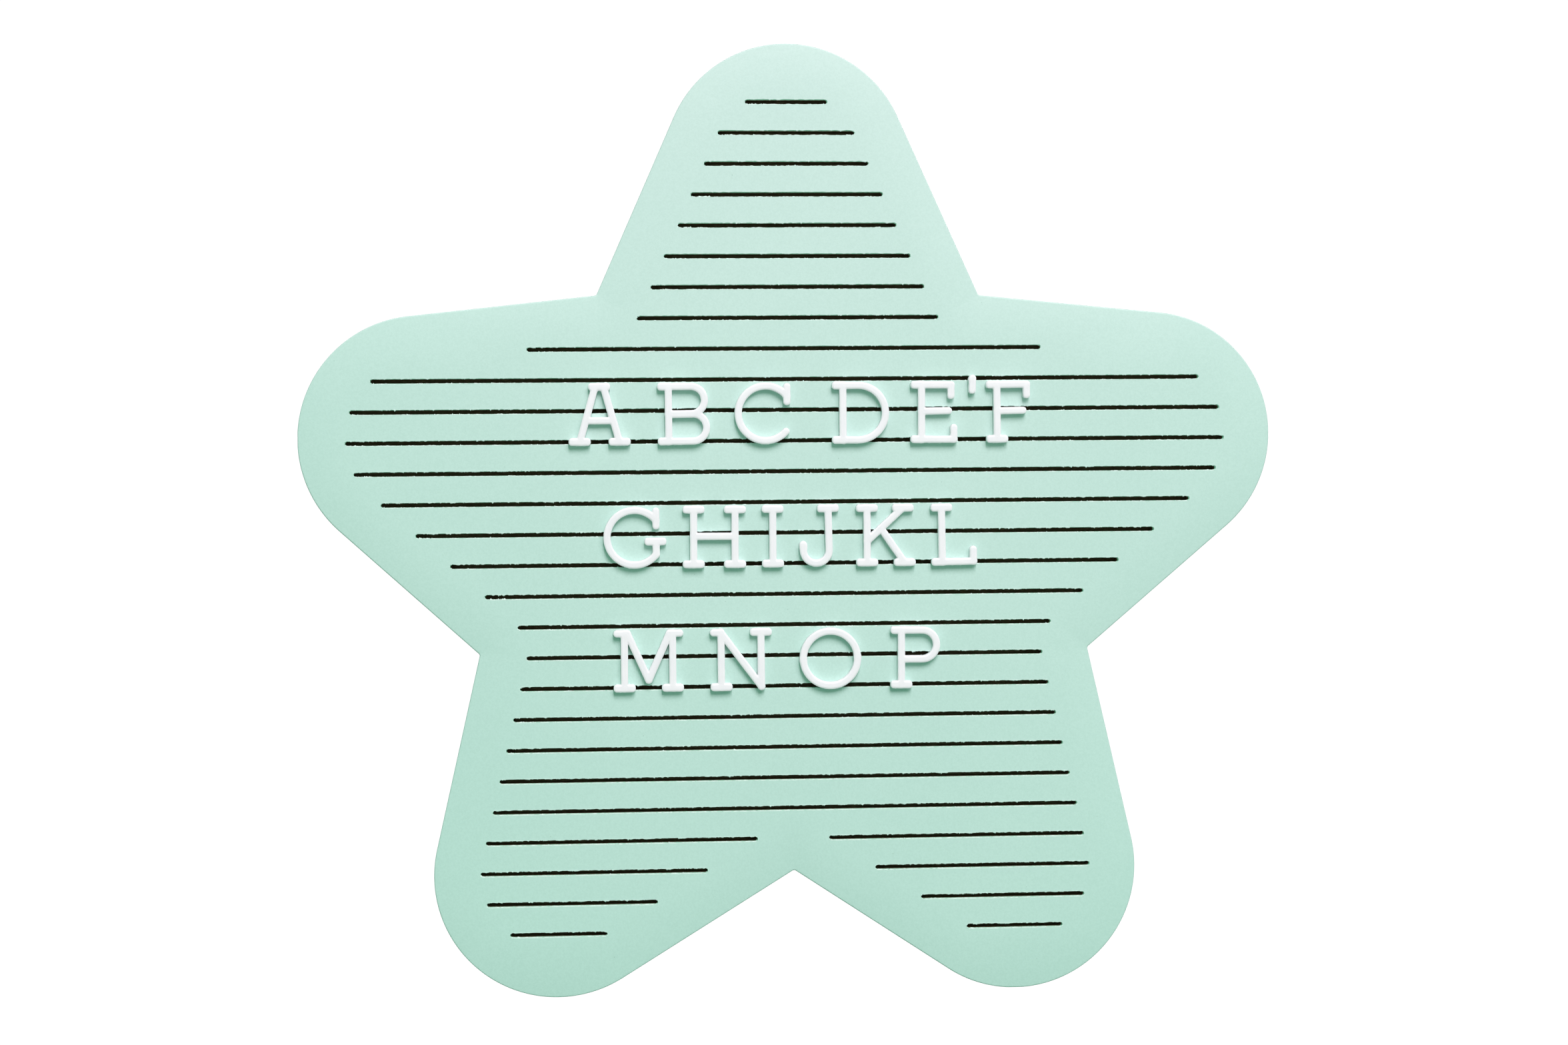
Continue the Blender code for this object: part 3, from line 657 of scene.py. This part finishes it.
def prong_spots(strokes, z):
    """Middle and half length of the prongs at height z, as in the construction."""
    lo = min(x - w / 2 for line, w in strokes for x, _ in line)
    hi = max(x + w / 2 for line, w in strokes for x, _ in line)
    xs = np.arange(lo, hi, 0.1)
    ok = np.ones(len(xs), bool)
    for dz in (-PRONG_T / 2, PRONG_T / 2):
        ok &= stroke_sdf(strokes, np.stack([xs, np.full(len(xs), z + dz)], -1), 0.01) <= -0.2
    edge = np.flatnonzero(np.diff(np.concatenate(([0], ok.astype(int), [0]))))
    runs = [(xs[a], xs[b - 1]) for a, b in zip(edge[::2], edge[1::2]) if xs[b - 1] - xs[a] >= 0.9]
    if len(runs) > 2:
        runs = [runs[0], runs[-1]]
    return [((a + b) / 2, min(PRONG_L, b - a) / 2) for a, b in runs]


def groove_z(k):
    return TOP_ROW - PITCH * k


def extent(strokes):
    xs = [x + s * w / 2 for line, w in strokes for x, _ in line for s in (-1, 1)]
    return min(xs), max(xs)


ROW_ONE = (11, [("A", -57.9, 0.0), ("B", -31.7, 0.3), ("C", -6.35, 0.0), ("D", 22.8, 0.0),
                ("E", 45.75, -0.4), ("F", 69.1, 0.3)])
ROW_TWO_SPAN = (-57.0, 58.9)
ROW_TWO = (15, [("G", 0.0), ("H", -0.3), ("I", 0.0), ("J", 1.3), ("K", 0.0), ("L", 0.7)])
ROW_THREE = (19, [("M", -43.5, 0.0), ("N", -14.8, 0.3), ("O", 12.9, 0.0), ("P", 39.3, -0.4)])


def make_letters():
    placed = [(g, x, ROW_ONE[0], t) for g, x, t in ROW_ONE[1]]
    sizes = [extent(GLYPHS[g]) for g, _ in ROW_TWO[1]]
    gap = (ROW_TWO_SPAN[1] - ROW_TWO_SPAN[0] - sum(b - a for a, b in sizes)) / (len(sizes) - 1)
    x = ROW_TWO_SPAN[0]
    for (g, t), (a, b) in zip(ROW_TWO[1], sizes):
        placed.append((g, x - a, ROW_TWO[0], t))
        x += b - a + gap
    placed += [(g, x, ROW_THREE[0], t) for g, x, t in ROW_THREE[1]]
    for i, (g, x, k, t) in enumerate(placed):
        letter_mesh("letter_" + g + "_moulded", g, x, groove_z(k), t, (0.0, PITCH), "letter_" + g, 100 + 31 * i)
    letter_mesh("apostrophe_moulded", "mark", 57.8, groove_z(9) - 3.9, 0.0, (3.9,), "apostrophe", 900)


# ---- the board -----------------------------------------------------------------------
def star_outline(tip_steps=90, fillet_steps=6):
    """The star's outline, clockwise from the top arm, in mm from its centre."""
    def polar(r, degrees):
        t = math.radians(degrees)
        return r * math.sin(t), r * math.cos(t)

    tips = [polar(a[0], a[1]) for a in ARMS]
    corners = [polar(a[2], a[3]) for a in ARMS]
    touch = []                                 # where each arm's two flanks meet its round tip
    for k, (tx, tz) in enumerate(tips):
        pair = []
        for (cx, cz), side in ((corners[k - 1], 1), (corners[k], -1)):
            dist = math.hypot(tx - cx, tz - cz)
            run = math.sqrt(dist * dist - TIP_RADIUS * TIP_RADIUS)
            t = math.atan2(tz - cz, tx - cx) + side * math.asin(TIP_RADIUS / dist)
            pair.append((cx + run * math.cos(t), cz + run * math.sin(t)))
        touch.append(pair)
    pts = []
    for k, (tx, tz) in enumerate(tips):
        (ax, az), (bx, bz) = touch[k]
        t0 = math.atan2(az - tz, ax - tx)
        sweep = (t0 - math.atan2(bz - tz, bx - tx)) % (2 * math.pi)
        for i in range(tip_steps + 1):
            t = t0 - sweep * i / tip_steps
            pts.append((tx + TIP_RADIUS * math.cos(t), tz + TIP_RADIUS * math.sin(t)))
        # the inner corner after this arm, rounded by a small fillet
        cx, cz = corners[k]
        nx, nz = touch[(k + 1) % len(ARMS)][0]
        d1, d2 = math.hypot(bx - cx, bz - cz), math.hypot(nx - cx, nz - cz)
        u = ((bx - cx) / d1, (bz - cz) / d1)
        w = ((nx - cx) / d2, (nz - cz) / d2)
        opening = math.acos(u[0] * w[0] + u[1] * w[1]) / 2
        size = math.hypot(u[0] + w[0], u[1] + w[1])
        n = ((u[0] + w[0]) / size, (u[1] + w[1]) / size)
        fx = cx + n[0] * FILLET / math.sin(opening)
        fz = cz + n[1] * FILLET / math.sin(opening)
        tangent = FILLET / math.tan(opening)
        a0 = math.atan2(cz + u[1] * tangent - fz, cx + u[0] * tangent - fx)
        mid = math.atan2(-n[1], -n[0])
        swing = (a0 - mid + math.pi) % (2 * math.pi) - math.pi
        for i in range(fillet_steps + 1):
            t = mid + swing * (1 - 2 * i / fillet_steps)
            pts.append((fx + FILLET * math.cos(t), fz + FILLET * math.sin(t)))
    return np.array(pts)


STAR = star_outline()


def inside_distance(x, z, outline=STAR):
    q = np.roll(outline, -1, axis=0)
    best = np.full(x.shape, 1e9)
    inside = np.zeros(x.shape, bool)
    for (ax, az), (bx, bz) in zip(outline, q):
        dx, dz = bx - ax, bz - az
        t = np.clip(((x - ax) * dx + (z - az) * dz) / (dx * dx + dz * dz), 0, 1)
        best = np.minimum(best, np.hypot(x - ax - t * dx, z - az - t * dz))
        if abs(dz) > 1e-12:
            inside ^= ((az > z) != (bz > z)) & (x < ax + (z - az) * dx / dz)
    return np.where(inside, best, -best)


def groove_runs():
    xs = np.arange(-160.0, 160.0, 0.1)
    runs = []
    for k in range(ROWS):
        z = groove_z(k)
        ok = inside_distance(xs, np.full(xs.shape, z)) >= INSET
        edge = np.flatnonzero(np.diff(np.concatenate(([0], ok.astype(int), [0]))))
        for a, b in zip(edge[::2], edge[1::2]):
            if xs[b - 1] - xs[a] > 6:
                runs.append((float(xs[a]), float(xs[b - 1]), z))
    return runs


GROOVES = groove_runs()


FINE_STEP, PER_COARSE = 0.2, 4


def groove_path(a, b, z):
    """Points round a groove's edge with their outward directions, every FINE_STEP or so.

    Each side and each round end has a whole number of coarse steps.
    """
    r = GROOVE_W / 2
    x0, x1 = a + r, b - r
    n = PER_COARSE * max(2, int((x1 - x0) / (FINE_STEP * PER_COARSE)))
    m = 3 * PER_COARSE
    pts, out = [], []
    for x_from, x_to, side in ((x0, x1, -1), (x1, x0, 1)):
        for i in range(n):
            pts.append((x_from + (x_to - x_from) * i / n, z + side * r))
            out.append((0, side))
        for i in range(m):
            t = side * math.pi / 2 + math.pi * i / m
            pts.append((x_to + r * math.cos(t), z + r * math.sin(t)))
            out.append((math.cos(t), math.sin(t)))
    return np.array(pts), np.array(out)


class Shell:
    """Vertices and faces gathered for one mesh, in mm from the star's centre."""

    def __init__(self):
        self.verts, self.faces, self.mats = [], [], []

    def ring(self, points, ys):
        s = len(self.verts)
        for p, y in zip(points, np.broadcast_to(ys, len(points))):
            self.verts.append(to_world(p, float(y)))
        return list(range(s, s + len(points)))

    def face(self, corners, mat):
        self.faces.append(tuple(int(i) for i in corners))
        self.mats.append(mat)

    def strip(self, a, b, mat):
        n = len(a)
        for i in range(n):
            j = (i + 1) % n
            self.face((a[i], a[j], b[j], b[i]), mat)

    def fan(self, coarse, fine, mat, flip=False):
        """Join a ring to one with PER_COARSE times as many points."""
        n, m, k = len(coarse), len(fine), PER_COARSE
        for i in range(n):
            c0, c1 = coarse[i], coarse[(i + 1) % n]
            f = [fine[(i * k + t) % m] for t in range(k + 1)]
            half = k // 2
            tris = [(c0, f[t + 1], f[t]) for t in range(half)] + [(c0, c1, f[half])]
            tris += [(c1, f[t + 1], f[t]) for t in range(half, k)]
            for t in tris:
                self.face(reversed(t) if flip else t, mat)


def fill(shell, loops, ids, mat, flip):
    """Close a flat region between an outline and its holes."""
    flat = [Vector((float(x), float(y))) for lp in loops for x, y in lp]
    idl = [int(i) for r in ids for i in r]
    edges, s = [], 0
    for lp in loops:
        edges += [(s + i, s + (i + 1) % len(lp)) for i in range(len(lp))]
        s += len(lp)
    ov, _, of, source, _, _ = delaunay_2d_cdt(flat, edges, [], 0, 1e-7)
    mapping = [idl[o[0]] if o else None for o in source]
    cen = np.array([[sum(ov[i].x for i in f) / 3, sum(ov[i].y for i in f) / 3] for f in of])
    keep = inside_distance(cen[:, 0], cen[:, 1], loops[0]) > 0
    for lp in loops[1:]:
        x0, z0 = lp.min(0)
        x1, z1 = lp.max(0)
        r = (z1 - z0) / 2
        cx = np.clip(cen[:, 0], x0 + r, x1 - r)
        keep &= np.hypot(cen[:, 0] - cx, cen[:, 1] - (z0 + z1) / 2) > r * 0.985
    for f, ok in zip(of, keep):
        if ok:
            t = [mapping[i] for i in f]
            if None not in t and len(set(t)) == 3:
                shell.face(reversed(t) if flip else t, mat)


WALL_OUT = 0.13   # the groove's wall stands back from the torn paint by this much


def make_board():
    sh = Shell()
    # the round tips end level with the construction's box
    out = STAR.copy()
    out[:, 0] = np.clip(out[:, 0], CAD_BOX[0][0] / MM, CAD_BOX[1][0] / MM)
    out[:, 1] = np.clip(out[:, 1], CAD_BOX[0][2] / MM + NOTCH_Z, CAD_BOX[1][2] / MM + NOTCH_Z)
    d = np.roll(out, -1, 0) - np.roll(out, 1, 0)
    nrm = np.stack([-d[:, 1], d[:, 0]], -1)
    nrm /= np.hypot(*nrm.T)[:, None]
    if ((out * nrm).sum(1)).mean() < 0:
        nrm = -nrm
    # outer edge: a worn round-over at the front, a smaller one at the back
    rr = 0.45
    rings = [(rr * (1 - math.sin(math.pi * i / 8)), Y_FACE + rr * (1 - math.cos(math.pi * i / 8))) for i in range(5)]
    rings += [(rr * 0.5 * (1 - math.cos(math.pi * i / 4)), Y_BACK - rr * 0.5 * (1 - math.sin(math.pi * i / 4)))
              for i in range(3)]
    prev = front_ring = None
    for inset, y in rings:
        ids = sh.ring(out - nrm * inset, y)
        if prev is None:
            front_ring = ids
        else:
            sh.strip(prev, ids, 1)
        prev = ids
    # grooves: straight walls and a floor
    holes = []
    for a, b, z in GROOVES:
        p, o = groove_path(a, b, z)
        p, o = p[::PER_COARSE], o[::PER_COARSE]
        edge = p + o * WALL_OUT
        mouth = sh.ring(edge, Y_FACE)
        deep = sh.ring(p, Y_FACE + 0.8)
        floor = sh.ring(p, Y_FACE + GROOVE_D)
        sh.strip(mouth, deep, 2)
        sh.strip(deep, floor, 2)
        holes.append((mouth, edge))
        n = len(floor)
        for i in range(n // 2 - 1):
            sh.face((floor[i], floor[i + 1], floor[n - 2 - i], floor[n - 1 - i]), 2)
    fill(sh, [out - nrm * rings[0][0]] + [h[1] for h in holes], [front_ring] + [h[0] for h in holes], 0, False)
    # back: rings inwards carry the fade of the overspray, and two holes take the nails
    spray = np.zeros(len(sh.verts))
    spray[prev] = 1.0
    fade = [(1.2, 0.85), (3.5, 0.55), (7.0, 0.28), (12.5, 0.0)]
    values = list(spray)
    for inset, value in fade:
        ids = sh.ring(out - nrm * inset, Y_BACK)
        values += [value] * len(ids)
        sh.strip(prev, ids, 3)
        prev = ids
    back_xy = out - nrm * fade[-1][0]
    bores = []
    for sx in (-1, 1):
        c = np.array([(sx * NAIL_X + NAIL_HOLE_R * math.cos(2 * math.pi * i / 32),
                       HANGER_Z + NAIL_HOLE_R * math.sin(2 * math.pi * i / 32)) for i in range(32)])
        mouth = sh.ring(c, Y_BACK)
        deep = sh.ring(c, Y_BACK - NAIL_IN - 0.6)
        values += [0.0] * 64
        sh.strip(mouth, deep, 3)
        sh.face(deep, 3)
        bores.append((mouth, c))
    fill(sh, [back_xy] + [h[1] for h in bores], [prev] + [h[0] for h in bores], 3, True)
    ob = make_piece("star_board_painted", sh.verts, sh.faces, [MINT, MINT_EDGE, BLACK, MDF], sh.mats,
                    ("star_board",), 32.0)
    att = ob.data.attributes.new("overspray", 'FLOAT', 'POINT')
    att.data.foreach_set("value", np.array(values, np.float32))
    return ob


def paint_lips(name, first, last):
    """The torn edge of the paint round each groove: a slim closed ring that is partly in the board."""
    sh = Shell()
    pale = []
    for g in range(first, last):
        a, b, z = GROOVES[g]
        p, o = groove_path(a, b, z)
        n = len(p)
        run = np.arange(n) * FINE_STEP
        rs = np.random.RandomState(600 + g)
        upper = o[:, 1] > 0.3
        # small teeth everywhere, larger tears and stray flakes on the upper side
        tooth = rs.uniform(-1, 1, n)
        tooth = tooth * 0.6 + np.roll(tooth, 1) * 0.4
        size = np.where(upper, 0.125, 0.085) * (0.65 + 0.5 * smooth_noise(run * 0.12, 50 + g, 2))
        jag = tooth * size + smooth_noise(run * 0.55, 40 + g, 3) * 0.022
        jag += smooth_noise(run * 1.2, 30 + g, 2) * np.where(upper, 0.15, 0.10)
        flake = (rs.uniform(0, 1, n) > np.where(upper, 0.955, 0.965)) * rs.uniform(0.07, 0.27, n)
        chip = (rs.uniform(0, 1, n) > 0.975) * rs.uniform(0.03, 0.09, n)
        # rough fibres stand up where the cutter came in on the lower side of some grooves
        if rs.uniform() > 0.35:
            start = (p[:, 0] < a + rs.uniform(3.0, 7.0)) & (o[:, 1] < -0.5)
            flake = np.maximum(flake, start * (rs.uniform(0, 1, n) > 0.7) * rs.uniform(0.12, 0.3, n))
        jag = np.clip(jag + 0.03 - flake + chip, -0.48, 0.16)
        bead = 0.05 + 0.015 * smooth_noise(run * 0.4, 80 + g, 3)
        c = slice(None, None, PER_COARSE)
        outer = sh.ring((p + o * 0.35)[c], Y_FACE + 0.012)
        mid = sh.ring((p + o * 0.225)[c], Y_FACE - 0.7 * bead[c])
        top = sh.ring(p + o * (0.10 + 0.75 * jag)[:, None], Y_FACE - 0.02 + 0.03 * rs.uniform(-1, 1, n))
        rim = sh.ring(p + o * jag[:, None], Y_FACE + np.where(upper, 0.09, 0.26) + 0.04 * rs.uniform(-1, 1, n))
        under = sh.ring((p + o * 0.36)[c], Y_FACE + 0.42)
        sh.strip(outer, mid, 0)
        sh.fan(mid, top, 0)
        sh.strip(top, rim, 0)
        sh.fan(under, rim, 0, flip=True)
        sh.strip(under, outer, 0)
        # painted highlight: palest on the lower side and round the ends, facing the light from above, and on the
        # upper side of the low rows; in the high rows the upper side stays mint
        highlight_tone = 0.62 - np.where(upper, 0.45 if z > groove_z(12) - 1 else 0.05, 0.32) * o[:, 1]
        pale += list(0.0 * highlight_tone[c]) + list(0.7 * highlight_tone[c]) + list(highlight_tone) + list(0.75 * highlight_tone) + [0.0] * len(under)
    ob = make_piece(name, sh.verts, sh.faces, [MINT_LIP], None, (), 50.0)
    att = ob.data.attributes.new("pale", 'FLOAT', 'POINT')
    att.data.foreach_set("value", np.array(pale, np.float32))
    return ob


make_board()
half = next(i for i, t in enumerate(GROOVES) if t[2] < groove_z(13) - 1)
paint_lips("paint_lips_upper", 0, half)
paint_lips("paint_lips_lower", half, len(GROOVES))
make_letters()


# ---- hanger and nails ----------------------------------------------------------------
def make_hanger():
    r = HANGER_H / 2
    end = HANGER_L / 2 - r
    top = [(end + r * math.sin(math.pi * i / 32), r * math.cos(math.pi * i / 32)) for i in range(33)]
    teeth = []
    for i in range(TEETH):
        x = (TEETH / 2 - i) * TOOTH_W
        teeth += [(x - 0.2, -r), (x - TOOTH_W / 2 + 0.25, -r + TOOTH_D), (x - TOOTH_W / 2 - 0.25, -r + TOOTH_D),
                  (x - TOOTH_W + 0.2, -r)]
    left = [(-end - r * math.sin(math.pi * i / 32), -r * math.cos(math.pi * i / 32)) for i in range(33)]
    outline = list(reversed(top + teeth + left))
    holes = [[(sx * NAIL_X + NAIL_HOLE_R * math.cos(2 * math.pi * i / 32),
               NAIL_HOLE_R * math.sin(2 * math.pi * i / 32)) for i in range(32)] for sx in (-1, 1)]
    bands = []
    for sx in (-1, 1):
        for i in range(6):
            u0 = RAMP_IN + (RAMP_OUT - RAMP_IN) * i / 6
            u1 = RAMP_IN + (RAMP_OUT - RAMP_IN) * (i + 1) / 6
            a, b = sorted((sx * u0, sx * u1))
            bands.append([(a, -r - 1), (b, -r - 1), (b, r + 1), (a, r + 1)])
    # the bands only add edges across the ramps, so the sheet can bend there
    verts2, faces2 = [], []
    for poly in [outline] + holes + bands:
        s = len(verts2)
        verts2.extend(Vector(p) for p in poly)
        faces2.append(list(range(s, len(verts2))))
    ov, _, of, _, _, origin = delaunay_2d_cdt(verts2, [], faces2, 1, 1e-6)
    tris = [tuple(f) for f, src in zip(of, origin) if 0 in src and 1 not in src and 2 not in src]
    tab = Y_BACK + 0.02
    rise = -SHEET - tab

    def front(x):
        t = max(0.0, min(1.0, (RAMP_OUT - abs(x)) / (RAMP_OUT - RAMP_IN)))
        return tab + rise * t * t * (3 - 2 * t)

    used = sorted({i for f in tris for i in f})
    idx = {u: k for k, u in enumerate(used)}
    n = len(used)
    verts = [to_world((ov[u].x, HANGER_Z + ov[u].y), front(ov[u].x)) for u in used]
    verts += [to_world((ov[u].x, HANGER_Z + ov[u].y), front(ov[u].x) + SHEET) for u in used]
    faces, seen = [], set()
    for f in tris:
        t = [idx[i] for i in f]
        faces.append(tuple(t))
        faces.append(tuple(n + i for i in reversed(t)))
        for a, b in zip(t, t[1:] + t[:1]):
            seen.add((a, b))
    for a, b in seen:
        if (b, a) not in seen:
            faces.append((b, a, n + a, n + b))
    ob = make_piece("hanger_stamped", verts, faces, [STEEL], None, ("sawtooth_hanger",), 30.0)
    bev = ob.modifiers.new("edges", 'BEVEL')
    bev.width = 0.00008
    bev.segments = 2
    bev.limit_method = 'ANGLE'
    bev.angle_limit = math.radians(50)
    return ob


def make_nail(name, node, sx):
    head = Y_BACK + 0.02 + SHEET + 0.01
    prof = [(0.0, head + HEAD_T)]
    for i in range(1, 9):
        t = math.pi / 2 * i / 8
        prof.append((HEAD_R * math.sin(t), head + HEAD_T * (0.35 + 0.65 * math.cos(t))))
    prof += [(HEAD_R, head + 0.12), (HEAD_R - 0.08, head), (NAIL_R, head), (NAIL_R, Y_BACK - NAIL_IN + 2.2),
             (0.0, Y_BACK - NAIL_IN + 0.5)]
    seg = 36
    verts, faces, rows = [], [], []
    for r, y in prof:
        s = len(verts)
        if r == 0:
            verts.append(to_world((sx * NAIL_X, HANGER_Z), y))
            rows.append([s] * seg)
        else:
            for i in range(seg):
                t = 2 * math.pi * i / seg
                verts.append(to_world((sx * NAIL_X + r * math.cos(t), HANGER_Z + r * math.sin(t)), y))
            rows.append(list(range(s, s + seg)))
    for a, b in zip(rows, rows[1:]):
        for i in range(seg):
            j = (i + 1) % seg
            f = [a[i], a[j], b[j], b[i]]
            f = [v for k, v in enumerate(f) if v not in f[:k]]
            if len(f) > 2:
                faces.append(tuple(f))
    return make_piece(name, verts, faces, [BRASSY], None, (node,), 35.0)


make_hanger()
make_nail("nail_head_left", "hanger_nail_left", -1)
make_nail("nail_head_right", "hanger_nail_right", 1)


# ---- floor, light and camera ---------------------------------------------------------
def plain(name, colour):
    """An evenly lit pale surface."""
    m = Nodes(name)
    m.set("Base Color", (0.0, 0.0, 0.0, 1.0))
    m.set("Specular IOR Level", 0.0)
    m.set("Emission Color", (*colour, 1.0))
    m.set("Emission Strength", 1.0)
    return m.mat


me = bpy.data.meshes.new("floor")
me.from_pydata([(-5, -5, -2.0), (5, -5, -2.0), (5, 5, -2.0), (-5, 5, -2.0)], [], [(0, 1, 2, 3)])
me.materials.append(plain("floor_pale", (0.93, 0.935, 0.94)))
floor = bpy.data.objects.new("floor", me)
floor.visible_diffuse = floor.visible_glossy = False
bpy.context.scene.collection.objects.link(floor)

world = bpy.data.worlds.new("studio")
bpy.context.scene.world = world
world.use_nodes = True
bg = world.node_tree.nodes["Background"]
bg.inputs["Color"].default_value = (0.59, 1.0, 0.78, 1.0)
bg.inputs["Strength"].default_value = 0.39
# in front of the board the room gives back the mint of the paint, and behind it a neutral white
rear = world.node_tree.nodes.new("ShaderNodeBackground")
rear.inputs["Color"].default_value = (1.0, 0.99, 0.97, 1.0)
rear.inputs["Strength"].default_value = 0.5
heading = world.node_tree.nodes.new("ShaderNodeTexCoord")
axes = world.node_tree.nodes.new("ShaderNodeSeparateXYZ")
turn = world.node_tree.nodes.new("ShaderNodeMapRange")
turn.inputs["From Min"].default_value = -0.1
turn.inputs["From Max"].default_value = 0.3
around = world.node_tree.nodes.new("ShaderNodeMixShader")
world.node_tree.links.new(heading.outputs["Generated"], axes.inputs[0])
world.node_tree.links.new(axes.outputs[1], turn.inputs["Value"])
world.node_tree.links.new(turn.outputs[0], around.inputs[0])
world.node_tree.links.new(bg.outputs[0], around.inputs[1])
world.node_tree.links.new(rear.outputs[0], around.inputs[2])
# the studio's backdrop is white, and lit apart from the object
backdrop = world.node_tree.nodes.new("ShaderNodeBackground")
backdrop.inputs["Color"].default_value = (1.0, 1.0, 1.0, 1.0)
backdrop.inputs["Strength"].default_value = 1.05
seen = world.node_tree.nodes.new("ShaderNodeLightPath")
either = world.node_tree.nodes.new("ShaderNodeMixShader")
world.node_tree.links.new(seen.outputs["Is Camera Ray"], either.inputs[0])
world.node_tree.links.new(around.outputs[0], either.inputs[1])
world.node_tree.links.new(backdrop.outputs[0], either.inputs[2])
world.node_tree.links.new(either.outputs[0], world.node_tree.nodes["World Output"].inputs["Surface"])


def area(name, place, target, size, watts, colour=(1.0, 1.0, 1.0)):
    d = bpy.data.lights.new(name, 'AREA')
    d.shape = 'RECTANGLE'
    d.size, d.size_y = size
    d.energy = watts
    d.color = colour
    o = bpy.data.objects.new(name, d)
    o.location = place
    o.rotation_mode = 'QUATERNION'
    o.rotation_quaternion = (Vector(place) - Vector(target)).to_track_quat('Z', 'Y')
    bpy.context.scene.collection.objects.link(o)
    return o


centre = Vector((0, Y_FACE * MM, -NOTCH_Z * MM))
# a tall light high in front, a weaker one to its right, and a soft one for the back
KEY = (1.0, 0.81, 0.905)
area("key_above", centre + Vector((0.24, -3.0, 2.60)), centre, (0.6, 2.4), 118.0, KEY)
area("key_right", centre + Vector((1.47, -3.0, 2.54)), centre, (1.4, 1.9), 60.0, KEY)
area("soft_from_behind", centre + Vector((0.7, 2.6, 1.1)), centre, (2.4, 1.8), 46.0, (1.0, 0.98, 0.95))

# camera: turned and tilted as the photograph shows the board's face
PHOTO_F = 4000.0
TURN = Matrix(((0.9973408, 0.0084851, -0.0723838), (-0.0100423, 0.9997253, -0.0211765), (0.0721842, 0.0218471, 0.997152)))
EYE = (-9.7583, -20.8473, -86.6479)
STAR_AT = (-3.3827, 17.8889)


def board_to_world(vec):
    """The fit's directions (right, down, away) to the row's axes."""
    return Vector((vec[0], vec[2], -vec[1]))


cam = bpy.data.cameras.new("camera")
cam.sensor_width = 36.0
cam.lens = PHOTO_F / 2352 * 36.0
cam.clip_start, cam.clip_end = 0.05, 60
# the fit counts from the middle of the first pixel
cam.shift_x, cam.shift_y = -0.5 / 2352, 0.5 / 2352
eye = Vector(((EYE[0] - STAR_AT[0]) * PITCH * MM, (Y_FACE + EYE[2] * PITCH) * MM,
              (-EYE[1] - STAR_AT[1]) * PITCH * MM - NOTCH_Z * MM))
right = board_to_world(TURN[0])
up = -board_to_world(TURN[1])
forward = board_to_world(TURN[2])
co = bpy.data.objects.new("camera", cam)
co.matrix_world = Matrix.Translation(eye) @ Matrix((
    (right.x, up.x, -forward.x), (right.y, up.y, -forward.y), (right.z, up.z, -forward.z))).to_4x4()
bpy.context.scene.collection.objects.link(co)
bpy.context.scene.camera = co
bpy.context.scene.view_settings.view_transform = 'Standard'

bpy.context.view_layer.update()
